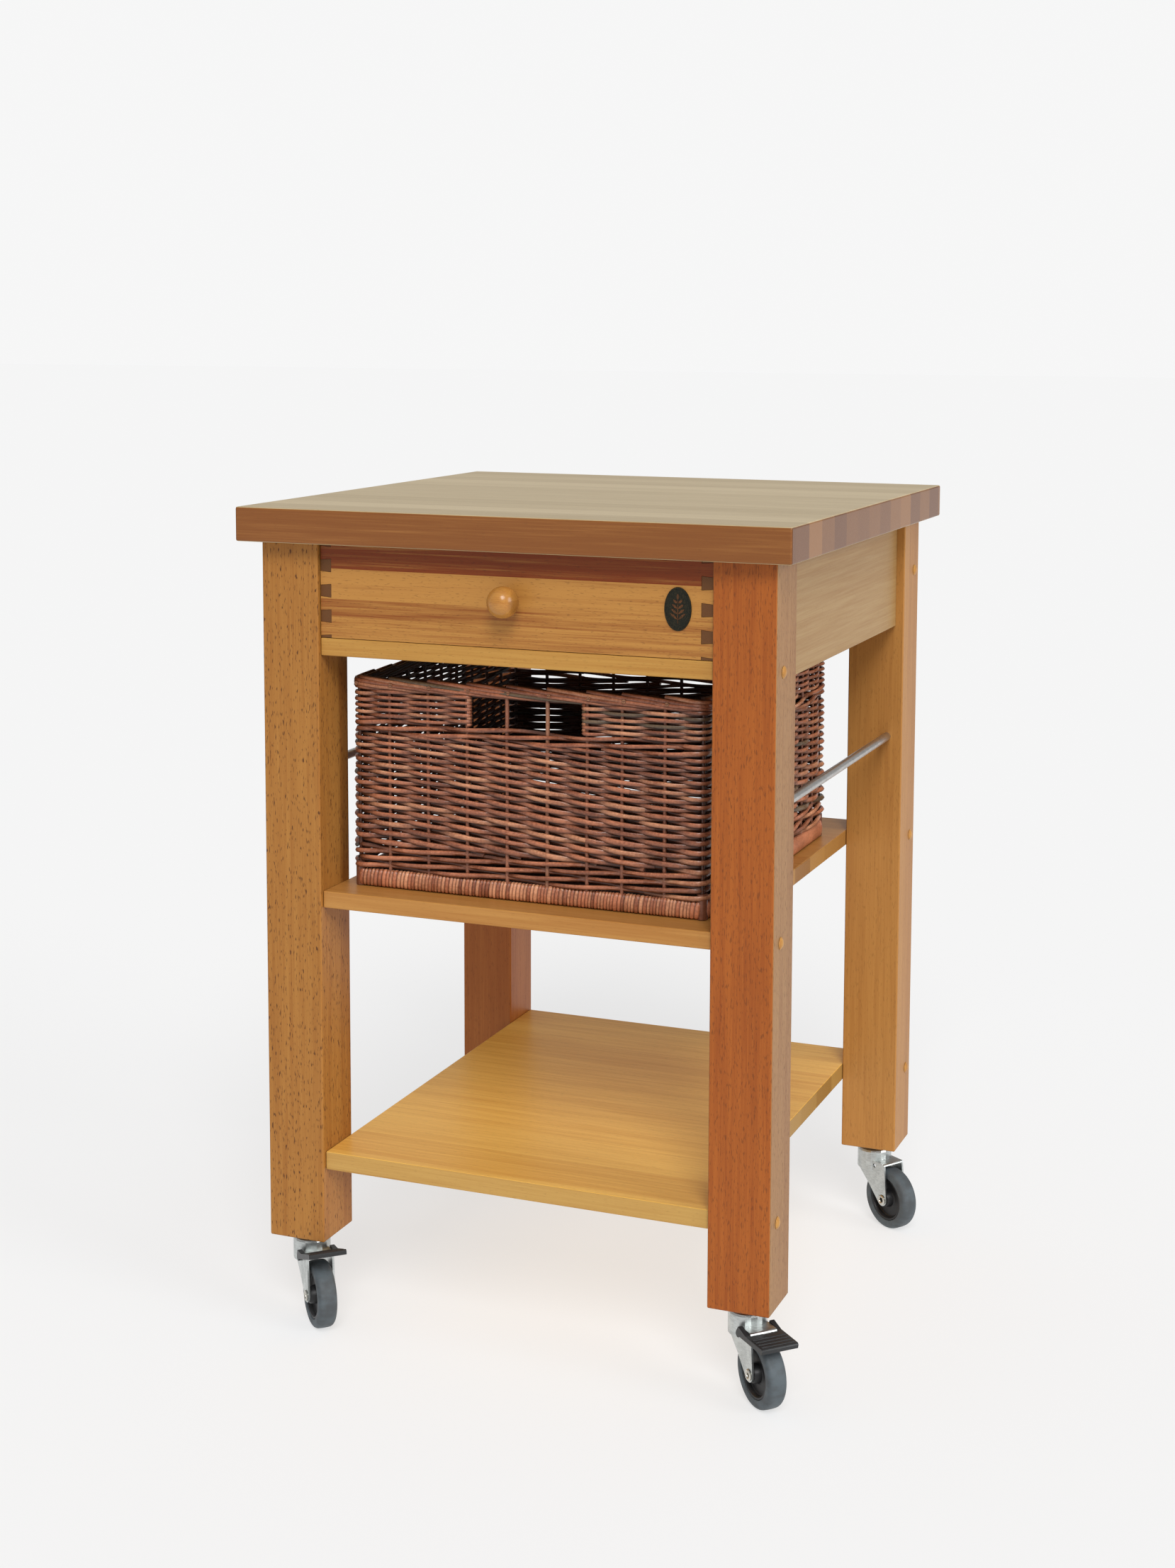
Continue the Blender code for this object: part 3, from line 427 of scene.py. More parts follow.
badge_ink = worn(Finish("badge_ink", 0.5, specular_ior_level=0.2), 700, 3, 0.4, 0.75,
                 (0.008, 0.009, 0.005), (0.028, 0.022, 0.01), 0.42)
badge_bronze = worn(Finish("badge_bronze", 0.42, 0.6), 900, 2, 0.35, 0.7,
                    (0.15, 0.055, 0.018), (0.05, 0.026, 0.01), 0.35)
badge_low, badge_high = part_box("badge")
badge_middle, badge_half = measured("badge")
BADGE_STEPS = 64
RIM_DEPTH = 0.0005
turns = [math.tau * k / BADGE_STEPS for k in range(BADGE_STEPS)]
bm = bmesh.new()
ovals = []
for share, depth in ((1.0, badge_high.y), (1.0, badge_low.y + RIM_DEPTH), (0.975, badge_low.y),
                     (0.92, badge_low.y), (0.9, badge_low.y + RIM_DEPTH)):
    ovals.append([bm.verts.new((badge_middle.x + share * badge_half.x * math.cos(turn), depth,
                                badge_middle.z + share * badge_half.z * math.sin(turn))) for turn in turns])
ovals.append([bm.verts.new((badge_middle.x, badge_low.y + 0.0004, badge_middle.z))])
bm.faces.new(ovals[0])
for first, second in zip(ovals, ovals[1:]):
    for k in range(BADGE_STEPS):
        following = (k + 1) % BADGE_STEPS
        corners = [first[k], first[following], second[following % len(second)], second[k % len(second)]]
        bm.faces.new(list(dict.fromkeys(corners)))
bmesh.ops.recalc_face_normals(bm, faces=bm.faces)
new_piece("oval_badge", finished_mesh("oval_badge", bm, 35), badge_ink, "drawer", ["badge"])

LEAF_RISE = 0.0003
LEAF_STEPS = 12


def flat_leaf(bm, root, tip, width):
    """A small raised pointed leaf on the badge, from root to tip in x and z."""
    front = badge_low.y + 0.0001
    root = Vector((root[0], 0, root[1]))
    along = Vector((tip[0], 0, tip[1])) - root
    side = Vector((along.z, 0, -along.x)).normalized()
    shares = [k / LEAF_STEPS for k in range(LEAF_STEPS + 1)]
    outline = [(share, math.sin(math.pi * share) ** 0.8 * width / 2) for share in shares]
    left = [root + along * share + side * wide for share, wide in outline]
    right = [root + along * share - side * wide for share, wide in outline[1:-1]]
    face = bm.faces.new([bm.verts.new((point.x, front, point.z)) for point in left + right[::-1]])
    grown = bmesh.ops.extrude_face_region(bm, geom=[face])
    moved = [item for item in grown["geom"] if isinstance(item, bmesh.types.BMVert)]
    bmesh.ops.translate(bm, vec=(0, LEAF_RISE, 0), verts=moved)


bm = bmesh.new()
x, z = badge_middle.x, badge_middle.z
for step in range(4):
    height = z - 0.01 + step * 0.0052
    size = 0.0078 - step * 0.001
    for side in (-1, 1):
        flat_leaf(bm, (x + side * 0.0006, height), (x + side * size, height + size * 0.75), 0.0024)
flat_leaf(bm, (x, z + 0.0088), (x, z + 0.015), 0.0026)
flat_leaf(bm, (x, z - 0.015), (x, z + 0.011), 0.001)
bmesh.ops.recalc_face_normals(bm, faces=bm.faces)
new_piece("badge_leaf", finished_mesh("badge_leaf", bm), badge_bronze, "drawer", ())

# ---- basket: finishes and rods
# A hamper of peeled, stained willow, woven over upright stakes that run round all four walls.
# Every rod is its own round stick, so light shows through the gaps.


def willow(name, bright, dark, seed):
    """Stained willow rod: mottled brown, with painted shade that darkens it in the weave's recesses and on
    its undersides.
    """
    finish = Finish(name, 0.42, specular_ior_level=0.5)
    x, y, z = finish.place()
    patches = finish.cloud(x + seed, y, z, 34, 3)
    speckle = finish.cloud(x, y + seed, z, 420, 3)
    scuffs = finish.cloud(x * 160, y * 160, z * 700, 1.0, 2)
    colour = finish.blend((patches * 0.6 + speckle * 0.4).above(0.3, 0.7), dark, bright)
    colour = finish.blend(scuffs.above(0.62, 0.8) * 0.35, colour, [min(1, value * 2.1) for value in bright])
    # Painted shade: a per-corner share, low in the recesses and on undersides, pulls the colour towards a
    # fifth of the dark tone.
    proud = finish.add("Attribute", {}, "Fac", attribute_name="proud")
    finish.drive("Base Color", finish.blend(proud, [value * 0.22 for value in dark], colour))
    finish.drive("Roughness", 0.26 + speckle * 0.2)
    finish.bump(speckle * 0.6 + scuffs * 0.4, 0.3, 0.0004)
    return finish.material


WILLOW_SHADES = [
    willow("willow_red_brown", (0.6, 0.22, 0.11), (0.23, 0.066, 0.03), 0.0),
    willow("willow_brown", (0.46, 0.165, 0.082), (0.16, 0.045, 0.021), 3.0),
    willow("willow_light", (0.74, 0.34, 0.18), (0.31, 0.1, 0.046), 6.0),
    willow("willow_olive", (0.21, 0.135, 0.075), (0.09, 0.052, 0.028), 9.0),
    willow("willow_cut", (0.56, 0.3, 0.16), (0.33, 0.14, 0.07), 12.0),
]
RED_BROWN, BROWN, LIGHT, OLIVE, CUT = range(5)
chance = np.random.default_rng(7)
basket_low, basket_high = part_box("basket")
basket_middle, basket_half = measured("basket")
SHADE_DEPTH = 0.0068     # how far in from the basket's box the painted shade is darkest
SHADE_FADE = 0.0052


def pick_shade():
    """Most rods are red-brown or brown, some lighter, about one in twelve olive."""
    return int(chance.choice([RED_BROWN, BROWN, LIGHT, OLIVE], p=[0.42, 0.3, 0.2, 0.08]))


def willow_piece(name, corners, faces, shades, proud, sharp=None):
    """One piece of the basket, with a shade for each face and, for each corner, how much of its colour
    escapes the painted shade.
    """
    mesh = bpy.data.meshes.new(name)
    mesh.from_pydata(corners, [], faces)
    for material in WILLOW_SHADES:
        mesh.materials.append(material)
    mesh.polygons.foreach_set("material_index", shades)
    mesh.shade_smooth()
    if sharp:
        mesh.set_sharp_from_angle(angle=math.radians(sharp))
    mesh.attributes.new("proud", "FLOAT", "POINT").data.foreach_set("value", proud)
    piece = placed(name, mesh)
    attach(piece, "basket")
    return piece


def rod_piece(name, rods, sides=6):
    """One piece of the basket made of many round rods, each (points, radii, shade)."""
    corners, faces, shades, upward = [], [], [], []
    first = 0
    turns = np.arange(sides) * math.tau / sides
    for points, radii, shade in rods:
        points = np.asarray(points, float)
        count = len(points)
        ahead = np.gradient(points, axis=0)
        ahead /= np.linalg.norm(ahead, axis=1)[:, None]
        upright = np.abs(ahead[:, 2]).mean() > 0.8
        side = np.cross(ahead, (1.0, 0, 0) if upright else (0, 0, 1.0))
        side /= np.linalg.norm(side, axis=1)[:, None]
        top = np.cross(side, ahead)
        radii = np.broadcast_to(np.asarray(radii, float), (count,))
        ring = np.cos(turns)[:, None] * side[:, None, :] + np.sin(turns)[:, None] * top[:, None, :]
        corners.append((points[:, None, :] + ring * radii[:, None, None]).reshape(-1, 3))
        upward.append(ring[:, :, 2].reshape(-1))
        row = first + np.arange(count - 1)[:, None] * sides
        here = np.arange(sides)[None, :]
        following = (here + 1) % sides
        quads = np.stack([row + here, row + following, row + sides + following, row + sides + here], 2)
        faces.extend(quads.reshape(-1, 4).tolist())
        faces.append(list(range(first + sides - 1, first - 1, -1)))
        faces.append(list(range(first + (count - 1) * sides, first + count * sides)))
        shades.extend([shade] * ((count - 1) * sides + 2))
        first += count * sides
    corners = np.concatenate(corners)
    # Painted shade: corners set back into the weave get a darker colour.
    outward = np.maximum(np.abs(corners[:, 0] - basket_middle.x) - basket_half.x,
                         np.abs(corners[:, 1] - basket_middle.y) - basket_half.y)
    proud = np.clip((outward + SHADE_DEPTH) / SHADE_FADE, 0.0, 1.0)
    # Painted shade: corners on a rod's underside get a darker colour, as if lit from above.
    proud *= np.clip(0.72 + 0.55 * np.concatenate(upward), 0.0, 1.0)
    return willow_piece(name, corners, faces, shades, proud, 60)


# ---- basket: stakes
# The walls are set out along one line that runs round the basket, midway through the weave, with
# thirty-eight stakes on it. Weavers pass outside one stake and inside the next.
WEAVE_INSET = 0.0058
CORNER_RADIUS = 0.0105
CORNER_STEPS = 8
wall_low = np.array([basket_low.x + WEAVE_INSET, basket_low.y + WEAVE_INSET])
wall_high = np.array([basket_high.x - WEAVE_INSET, basket_high.y - WEAVE_INSET])
left_x, front_y = wall_low
right_x, back_y = wall_high
base = basket_low.z


def corner_line():
    """The middle line round the basket, from the front left corner along the front and round."""
    points = []
    for x, y, inward_x, inward_y, begin in ((right_x, front_y, -1, 1, -90), (right_x, back_y, -1, -1, 0),
                                            (left_x, back_y, 1, -1, 90), (left_x, front_y, 1, 1, 180)):
        centre = np.array([x + inward_x * CORNER_RADIUS, y + inward_y * CORNER_RADIUS])
        for k in range(CORNER_STEPS + 1):
            turn = math.radians(begin + 90 * k / CORNER_STEPS)
            points.append(centre + CORNER_RADIUS * np.array([math.cos(turn), math.sin(turn)]))
    half_bend = CORNER_STEPS // 2
    return np.array(points[-half_bend - 1:] + points[:-half_bend])


line_points = corner_line()
line_places = np.concatenate([[0], np.cumsum(np.linalg.norm(np.diff(line_points, axis=0), axis=1))])
AROUND = line_places[-1]
LOOK_AHEAD = 0.0008


def on_line(places, out=0.0):
    """x, y and the outward direction at distances round the basket."""
    wrapped = np.mod(places, AROUND)

    def at(distances):
        return np.stack([np.interp(distances, line_places, line_points[:, i]) for i in (0, 1)], -1)

    along = at(np.mod(wrapped + LOOK_AHEAD, AROUND)) - at(np.mod(wrapped - LOOK_AHEAD, AROUND))
    along /= np.linalg.norm(along, axis=-1, keepdims=True)
    outward = np.stack([along[..., 1], -along[..., 0]], -1)
    return at(wrapped) + outward * np.asarray(out)[..., None], outward


def place_of(x, y):
    """Distance round the basket of the point on the middle line nearest to x, y."""
    samples = np.linspace(0, AROUND, 4001)[:-1]
    points, _ = on_line(samples)
    return samples[np.argmin(np.hypot(points[:, 0] - x, points[:, 1] - y))]


FRONT_STAKES = (-0.1545, -0.11, -0.0655, -0.0205, 0.0245, 0.068, 0.106, 0.152)
SIDE_STAKES = [front_y + (back_y - front_y) * (k + 1) / 10 for k in range(9)]
BACK_STAKES = [right_x + (left_x - right_x) * (k + 1) / 9 for k in range(8)]
spots = [(x, front_y) for x in FRONT_STAKES] + [(right_x, y) for y in (front_y, *SIDE_STAKES, back_y)]
spots += [(x, back_y) for x in BACK_STAKES] + [(left_x, y) for y in (back_y, *reversed(SIDE_STAKES))]
stake_places = np.array([0.0] + [place_of(x, y) for x, y in spots])
STAKES = len(stake_places)
CORNER_STAKES = np.array([0, 9, 19, 28, 38])
HANDLE_LEFT, HANDLE_RIGHT = 3, 6      # the stakes at the edges of the handle hole

# Heights of the woven bands above the basket's base.
FOOT_TOP = 0.02
WALE_TOP = 0.045
BODY_TOP = 0.166
HANDLE_WALE_TOP = 0.179
BORDER_BOTTOM = 0.211
RIM = basket_high.z - base

STAKE_SWING = 0.0033
STAKE_RADIUS = 0.0021
HOLE_STAKE_RADIUS = 0.0023
STAKE_STEPS = 14
STAKE_TUCK = 0.004        # how far a stake runs into the foot and the border
stakes = []
for index, place in enumerate(stake_places):
    point, _ = on_line(place)
    heights = np.linspace(FOOT_TOP - STAKE_TUCK, BORDER_BOTTOM + STAKE_TUCK, STAKE_STEPS)
    sway = [0.0004 * noise.noise((index * 3.1, height * 30, 0)) for height in heights]
    points = np.column_stack([point[0] + np.array(sway), np.full(STAKE_STEPS, point[1]), base + heights])
    in_hole = HANDLE_LEFT < index < HANDLE_RIGHT
    stakes.append((points, HOLE_STAKE_RADIUS if in_hole else STAKE_RADIUS, RED_BROWN if index % 5 else LIGHT))
rod_piece("basket_stakes", stakes, 8)

# ---- basket: woven walls
# The body weave climbs from left to right as the weaver lays one rod at a time beside each stake, so
# its rows slope down to the right on each wall. Its rods are thick below and thin above.


def stake_count(places):
    """How many stakes have been passed at distances round the basket, in parts of a stake."""
    laps = np.floor(places / AROUND)
    known = np.concatenate([stake_places, [AROUND]])
    return np.interp(places - laps * AROUND, known, np.arange(STAKES + 1)) + laps * STAKES


def swing(places, row):
    """How far out a weaver stands: outside every other stake, and inside those between."""
    wave = np.cos(math.pi * (stake_count(places) + row))
    return STAKE_SWING * np.sign(wave) * np.abs(wave) ** 0.85


def rod_path(places, out, heights):
    points, _ = on_line(places, out)
    return np.column_stack([points, heights])


WEAVE_STEP = 0.0052
SLANT_ROWS = 6.4          # rows that the slope drops along one wall
ROW_LOW = 0.005
ROW_HIGH = 0.0034
ROW_MARGIN = 0.15         # part of a row kept clear below and above the body weave
body_height = BODY_TOP - WALE_TOP
ROW_COUNT = int(body_height / ((ROW_LOW + ROW_HIGH) / 2))


def row_height(rows):
    """Height of a row above the base; rows stand closer together towards the top."""
    share = rows / ROW_COUNT
    climbed = share * ROW_LOW + share ** 2 * (ROW_HIGH - ROW_LOW) / 2
    return WALE_TOP + body_height * climbed / (ROW_LOW + (ROW_HIGH - ROW_LOW) / 2)


def slant(places):
    """Rows dropped by the slope; level near the corners and steep in the middle of each wall."""
    count = np.mod(stake_count(places), STAKES)
    wall = np.clip(np.searchsorted(CORNER_STAKES, count, side="right") - 1, 0, 3)
    share = (count - CORNER_STAKES[wall]) / (CORNER_STAKES[wall + 1] - CORNER_STAKES[wall])
    laps = np.floor(stake_count(places) / STAKES) * 4
    return (wall + laps + share ** 2 * (3 - 2 * share)) * SLANT_ROWS


def pairing(places):
    """Rows close up in twos on the sides and more on the back, with slits between the pairs."""
    count = np.mod(stake_count(places), STAKES)
    back = np.clip(count - 18.5, 0, 1) * np.clip(28.5 - count, 0, 1)
    sides = np.clip(count - 9.5, 0, 1) * np.clip(38.0 - count, 0, 1)
    return 0.03 * sides + 0.05 * back


def swollen(places):
    """From 0 to 1 where the rows are most paired, and the rods a little thicker."""
    return np.clip(pairing(places) / 0.08, 0, 1)


body = []
dense = np.arange(0, AROUND, WEAVE_STEP)
for row in range(int(ROW_COUNT + 4 * SLANT_ROWS) + 1):
    # Each row is followed once round the basket from the front left corner.
    rows_here = row - slant(dense)
    inside = (rows_here > ROW_MARGIN) & (rows_here < ROW_COUNT - ROW_MARGIN)
    edges = np.flatnonzero(np.diff(np.concatenate([[0], inside.astype(int), [0]])))
    for begin, end in zip(edges[::2], edges[1::2]):
        if end - begin < 6:
            continue
        # The run is cut into rods some six or seven stakes long whose ends tuck in behind a stake.
        cut = begin
        while cut < end:
            stop = min(cut + int(chance.integers(48, 66)), end)
            if end - stop < 14:
                stop = end
            reach = dense[max(cut - 1, 0):min(stop + 2, len(dense))]
            level = row - slant(reach) + pairing(reach) * (1 if row % 2 else -1)
            shake = 0.00045 * np.array([noise.noise((place * 60, row * 2.3, 5.0)) for place in reach])
            size = 0.5 * (ROW_LOW + (ROW_HIGH - ROW_LOW) * np.clip(level / ROW_COUNT, 0, 1))
            taper = 1.14 + 0.1 * np.linspace(0, 1, len(reach))
            radii = size * taper * (1 + 0.08 * swollen(reach)) * (1 + 0.05 * chance.standard_normal())
            out = swing(reach, row) + 0.0004 * chance.standard_normal()
            points = rod_path(reach, out, base + row_height(level) + shake)
            body.append((points, np.clip(radii, 0.0013, 0.0031), pick_shade()))
            cut = stop
rod_piece("basket_body_weave", body)


# Waled bands: heavier rods that pass outside two stakes and inside the third bind the foot and run
# under the handle hole, each slanting a little as it goes.
def waled_band(heights, phase, lean, climb, stride, thick, thin):
    """Rows of waling at these heights, in rods that overlap by two steps."""
    rods = []
    for row, height in enumerate(heights):
        turn = math.tau * (stake_count(dense) / 3 + row / 3.0 + phase)
        out = STAKE_SWING * (lean + 0.95 * np.cos(turn))
        levels = base + height + climb * np.sin(turn)
        for begin in range(0, len(dense), stride):
            end = min(begin + stride + 2, len(dense))
            rods.append((rod_path(dense[begin:end], out[begin:end], levels[begin:end]),
                         np.linspace(thick, thin, end - begin), pick_shade()))
    return rods


foot_wales = waled_band(np.linspace(FOOT_TOP + 0.0026, WALE_TOP - 0.0022, 5), 0.0, 0.3, 0.0014, 62,
                        0.0027, 0.0023)
handle_wales = waled_band((BODY_TOP + 0.0012, BODY_TOP + 0.0058, BODY_TOP + 0.0104), 0.2, 0.35, 0.0016, 70,
                          0.0026, 0.0021)
rod_piece("basket_wales", foot_wales + handle_wales)

# Level rows fill the wall beside the handle hole. On the front they turn back round the hole's edge
# stakes; two plain stakes cross the open hole.
UPPER_PITCH = 0.0032
UPPER_RADIUS = 0.002
UPPER_STRIDE = 58
TURN_BACK = 0.004
hole_left = stake_places[HANDLE_LEFT]
hole_right = stake_places[HANDLE_RIGHT]
run = np.arange(hole_right, hole_left + AROUND, WEAVE_STEP)
run[-1] = hole_left + AROUND
curl = np.radians([30, 75, 120, 165])
upper = []
for row in range(int((BORDER_BOTTOM - HANDLE_WALE_TOP) / UPPER_PITCH)):
    height = HANDLE_WALE_TOP + UPPER_PITCH * (row + 0.5)
    level = pairing(run) * 0.8 * (1 if row % 2 else -1)
    shake = 0.0005 * np.array([noise.noise((place * 45, row * 1.7, 9.0)) for place in run])
    out = swing(run, row)
    curls = [rod_path(place + way * TURN_BACK * np.sin(curl), math.copysign(STAKE_SWING, here) * np.cos(curl),
                      np.full(len(curl), base + height))
             for place, way, here in ((hole_right, -1, out[0]), (hole_left, 1, out[-1]))]
    points = np.concatenate([curls[0][::-1], rod_path(run, out, base + height + UPPER_PITCH * level + shake),
                             curls[1]])
    thicker = np.pad(swollen(run), len(curl))
    radii = UPPER_RADIUS * (1 + 0.05 * thicker) * (1 + 0.08 * chance.standard_normal())
    for begin in range(0, len(points), UPPER_STRIDE):
        end = min(begin + UPPER_STRIDE + 2, len(points))
        if end - begin > 3:
            upper.append((points[begin:end], radii[begin:end], pick_shade()))
rod_piece("basket_upper_weave", upper)

# ---- basket: border
# Each stake is bent over the rim and laid along it over three more, sloping down as it goes, and its
# cut end shows as a small pale ring where it tucks in.
BORDER_SPAN = 3.4
BORDER_STEPS = 26
RING_RADIUS = 0.00145
border = []
rings = []
known = np.concatenate([stake_places, stake_places + AROUND, stake_places + 2 * AROUND])
share = np.linspace(0, 1, BORDER_STEPS)
for index, begin in enumerate(stake_places):
    finish_place = float(np.interp(index + BORDER_SPAN, np.arange(len(known)), known))
    run = np.linspace(begin, finish_place, BORDER_STEPS)
    for strand in range(2):
        drop = (RIM - 0.003 - strand * 0.004) - (0.0105 - strand * 0.0015) * share
        out = -0.0036 + 0.0078 * np.sin(math.pi * np.clip(share * 0.92 + 0.1, 0, 1)) ** 0.7
        out = out - 0.003 * np.clip((share - 0.85) / 0.15, 0, 1)
        lift = 0.0005 * np.array([noise.noise((place * 40, index * 1.9 + strand * 7, 2.0)) for place in run])
        border.append((rod_path(run, out, base + drop + lift), np.linspace(0.0025, 0.0019, BORDER_STEPS),
                       pick_shade()))
    inner_out = -0.005 + 0.0008 * np.sin(share * math.tau)
    border.append((rod_path(run, inner_out, base + RIM - 0.0035 - 0.0085 * share), 0.0022, pick_shade()))
    points, outward = on_line(begin + 0.004)
    tip = np.array([*(points + outward * 0.0072), base + RIM - 0.0088])
    root = tip + np.array([outward[1], -outward[0], 0.0]) * 0.004 - np.array([*outward, 0]) * 0.0085
    rings.append((np.linspace(tip, root, 5), 0.0018, BROWN))
    lip = tip + (tip - root) / np.linalg.norm(tip - root) * 0.0002
    axis = Vector(tip - root).normalized()
    one = axis.orthogonal().normalized()
    two = axis.cross(one)
    loop = [lip + RING_RADIUS * (math.cos(turn) * np.array(one) + math.sin(turn) * np.array(two))
            for turn in np.linspace(0, math.tau, 13)]
    rings.append((loop, 0.00055, CUT))
rod_piece("basket_border", border, 7)
rod_piece("basket_rod_ends", rings)

# ---- basket: foot and floor
# The foot is a bundle of rods bound with close vertical turns of split willow on the front and back,
# and left smooth along the sides. The floor is woven across nine stiff sticks.
FOOT_SIDES = 14
FOOT_MIDDLE = 0.01
FOOT_HALF_HEIGHT = 0.0096
FOOT_HALF_THICK = 0.0054


def foot_band(name, begin, end, bound):
    """One side of the foot, as a swept band 20 mm high."""
    length = end - begin
    places, fullness = [], []
    if bound:
        breaks = [0.0]
        while breaks[-1] < length:
            breaks.append(breaks[-1] + float(chance.uniform(0.003, 0.005)))
        for first, second in zip(breaks, breaks[1:]):
            size = float(chance.uniform(0.94, 1.03))
            for share, full in ((0.02, 0.62), (0.16, 0.92), (0.5, 1.0), (0.84, 0.92)):
                places.append(first + (second - first) * share)
                fullness.append(full * size)
    else:
        places = np.arange(0, length, 0.006)
        fullness = [1 + 0.04 * noise.noise((place * 20, 3.3, begin)) for place in places]
    places = np.array(places)
    keep = places < length
    places, fullness = places[keep] + begin, np.array(fullness)[keep]
    turns = np.arange(FOOT_SIDES) * math.tau / FOOT_SIDES
    height = FOOT_HALF_HEIGHT * np.sin(turns)
    thick = FOOT_HALF_THICK * np.sign(np.cos(turns)) * np.abs(np.cos(turns)) ** 0.6
    corners = []
    for place, full in zip(places, fullness):
        points, _ = on_line(place + 0.1 * height, thick * full - 0.0006)
        corners.append(np.column_stack([points, base + FOOT_MIDDLE + height * (0.6 + 0.4 * full)]))
    last = (len(places) - 1) * FOOT_SIDES
    faces = []
    for row in range(0, last, FOOT_SIDES):
        for k in range(FOOT_SIDES):
            following = (k + 1) % FOOT_SIDES
            faces.append((row + k, row + following, row + FOOT_SIDES + following, row + FOOT_SIDES + k))
    faces += [list(range(FOOT_SIDES - 1, -1, -1)), list(range(last, last + FOOT_SIDES))]
    shades = [RED_BROWN] * len(faces)
    if bound:
        strips = chance.choice([LIGHT, RED_BROWN, BROWN], p=[0.5, 0.35, 0.15], size=len(places) // 4 + 2)
        shades = [int(strips[index // FOOT_SIDES // 4]) for index in range(len(faces) - 2)] + [BROWN, BROWN]
    # Painted shade: the thin edges of each binding turn, in the grooves between turns, get a darker colour.
    proud = np.repeat(np.clip((fullness - 0.6) / 0.36, 0.08, 1.0), FOOT_SIDES)
    willow_piece(name, np.concatenate(corners), faces, shades, proud)


corner_places = [*stake_places[CORNER_STAKES[:4]], AROUND]
for k, side in enumerate(("front", "right", "back", "left")):
    foot_band("basket_foot_" + side, corner_places[k] + 0.002, corner_places[k + 1] - 0.001, k % 2 == 0)
PEG_RADIUS = 0.0058
corner_pegs = []
for place in corner_places[:4]:
    point, _ = on_line(place, -0.0006)
    heights = base + np.linspace(0.0004, 0.026, 6)
    corner_pegs.append(([(*point, height) for height in heights], PEG_RADIUS, BROWN))
rod_piece("basket_corner_pegs", corner_pegs, 10)

STICKS = 9
STICK_RADIUS = 0.003
FLOOR_RADIUS = 0.0024
FLOOR_PITCH = 0.005
FLOOR_HEIGHT = base + 0.013
stick_xs = np.linspace(left_x + 0.02, right_x - 0.02, STICKS)
floor_rods = [([(x, y, FLOOR_HEIGHT) for y in np.linspace(front_y, back_y, 6)], STICK_RADIUS, BROWN)
              for x in stick_xs]
across = np.linspace(left_x, right_x, 66)
for row, y in enumerate(np.arange(front_y + 0.004, back_y - 0.002, FLOOR_PITCH)):
    phase = np.interp(across, stick_xs, np.arange(STICKS)) + row
    lift = 0.003 * np.cos(math.pi * phase)
    floor_rods.append((np.column_stack([across, np.full(len(across), y), FLOOR_HEIGHT + lift]),
                       FLOOR_RADIUS, pick_shade()))
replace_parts(rod_piece("basket_floor", floor_rods, 5), "basket")

# ---- casters: stems, forks and axles
# Zinc-plated swivel casters with a 71 mm wheel. A stem goes up into each leg, the pressed fork turns
# under a collar, and a tubular rivet carries the wheel.
CORNERS = ("front_left", "front_right", "back_left", "back_right")
joints = {joint["name"]: joint for joint in frame["joints"]}
zinc = satin_metal("zinc_plate", (0.6, 0.63, 0.62), 0.34, 0.06, (240, 240, 900))
bright_zinc = satin_metal("bright_zinc", (0.66, 0.64, 0.58), 0.24, 0.05, (500, 500, 500))


def round_edges(piece, width, steps=2):
    """Rounds the sharp edges of a piece by a small radius."""
    piece.modifiers.new("weld", "WELD").merge_threshold = 0.00001
    bevel = piece.modifiers.new("rounded_edges", "BEVEL")
    bevel.width = width
    bevel.segments = steps
    bevel.limit_method = "ANGLE"
    bevel.angle_limit = math.radians(32)
    bevel.harden_normals = True


def both_ends(half):
    """A closed ring's profile from its upper half, from the bore outwards."""
    ring = half + [(radius, -height) for radius, height in reversed(half)]
    return ring + ring[:1]


STEM_RADIUS = 0.0052
KING_PIN_RADIUS = 0.0048
STEM_LENGTH = 0.04
COLLAR_GAP = 0.0004
RIVET_SEAT, RIVET_END = 0.0154, 0.0168
RIVET_BORE, RIVET_SHANK, RIVET_HEAD = 0.0026, 0.0041, 0.006
RIVET = both_ends([(RIVET_BORE, RIVET_END - 0.0022), (RIVET_BORE + 0.0003, RIVET_END - 0.0008),
                   (RIVET_BORE + 0.001, RIVET_END - 0.0001), (RIVET_HEAD - 0.0014, RIVET_END),
                   (RIVET_HEAD - 0.0004, RIVET_END - 0.0004), (RIVET_HEAD, RIVET_END - 0.0009),
                   (RIVET_HEAD - 0.0003, RIVET_SEAT), (RIVET_SHANK, RIVET_SEAT)])
for corner in CORNERS:
    middle, (collar, _, half) = measured("caster_stem_" + corner)
    bottom, top = middle.z - half, middle.z + half
    seat = top - STEM_LENGTH
    crown_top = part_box("fork_" + corner)[1].z
    profile = [(0, top), (STEM_RADIUS - 0.0012, top), (STEM_RADIUS, top - 0.0012), (STEM_RADIUS, seat),
               (collar - 0.0034, seat), (collar - 0.0012, seat - 0.0012), (collar - 0.0002, seat - 0.0026),
               (collar, crown_top + 0.0009), (collar - 0.0005, crown_top + COLLAR_GAP),
               (KING_PIN_RADIUS, crown_top + COLLAR_GAP), (KING_PIN_RADIUS, bottom + 0.0022),
               (0.008, bottom + 0.0022), (0.0064, bottom), (0, bottom)]
    turned_piece("swivel_stem_" + corner, profile, bright_zinc, "frame", (middle.x, middle.y, 0), (0, 0, 1),
                 ["caster_stem_" + corner], 48, 30)
    round_edges(paint(frame["nodes"]["fork_" + corner], zinc), 0.0007)
    spin = joints["wheel_spin_" + corner]
    turned_piece("tubular_rivet_" + corner, RIVET, bright_zinc, "fork_" + corner, Vector(spin["pos_m"]),
                 spin["axis"], ["axle_" + corner], 36, 50)

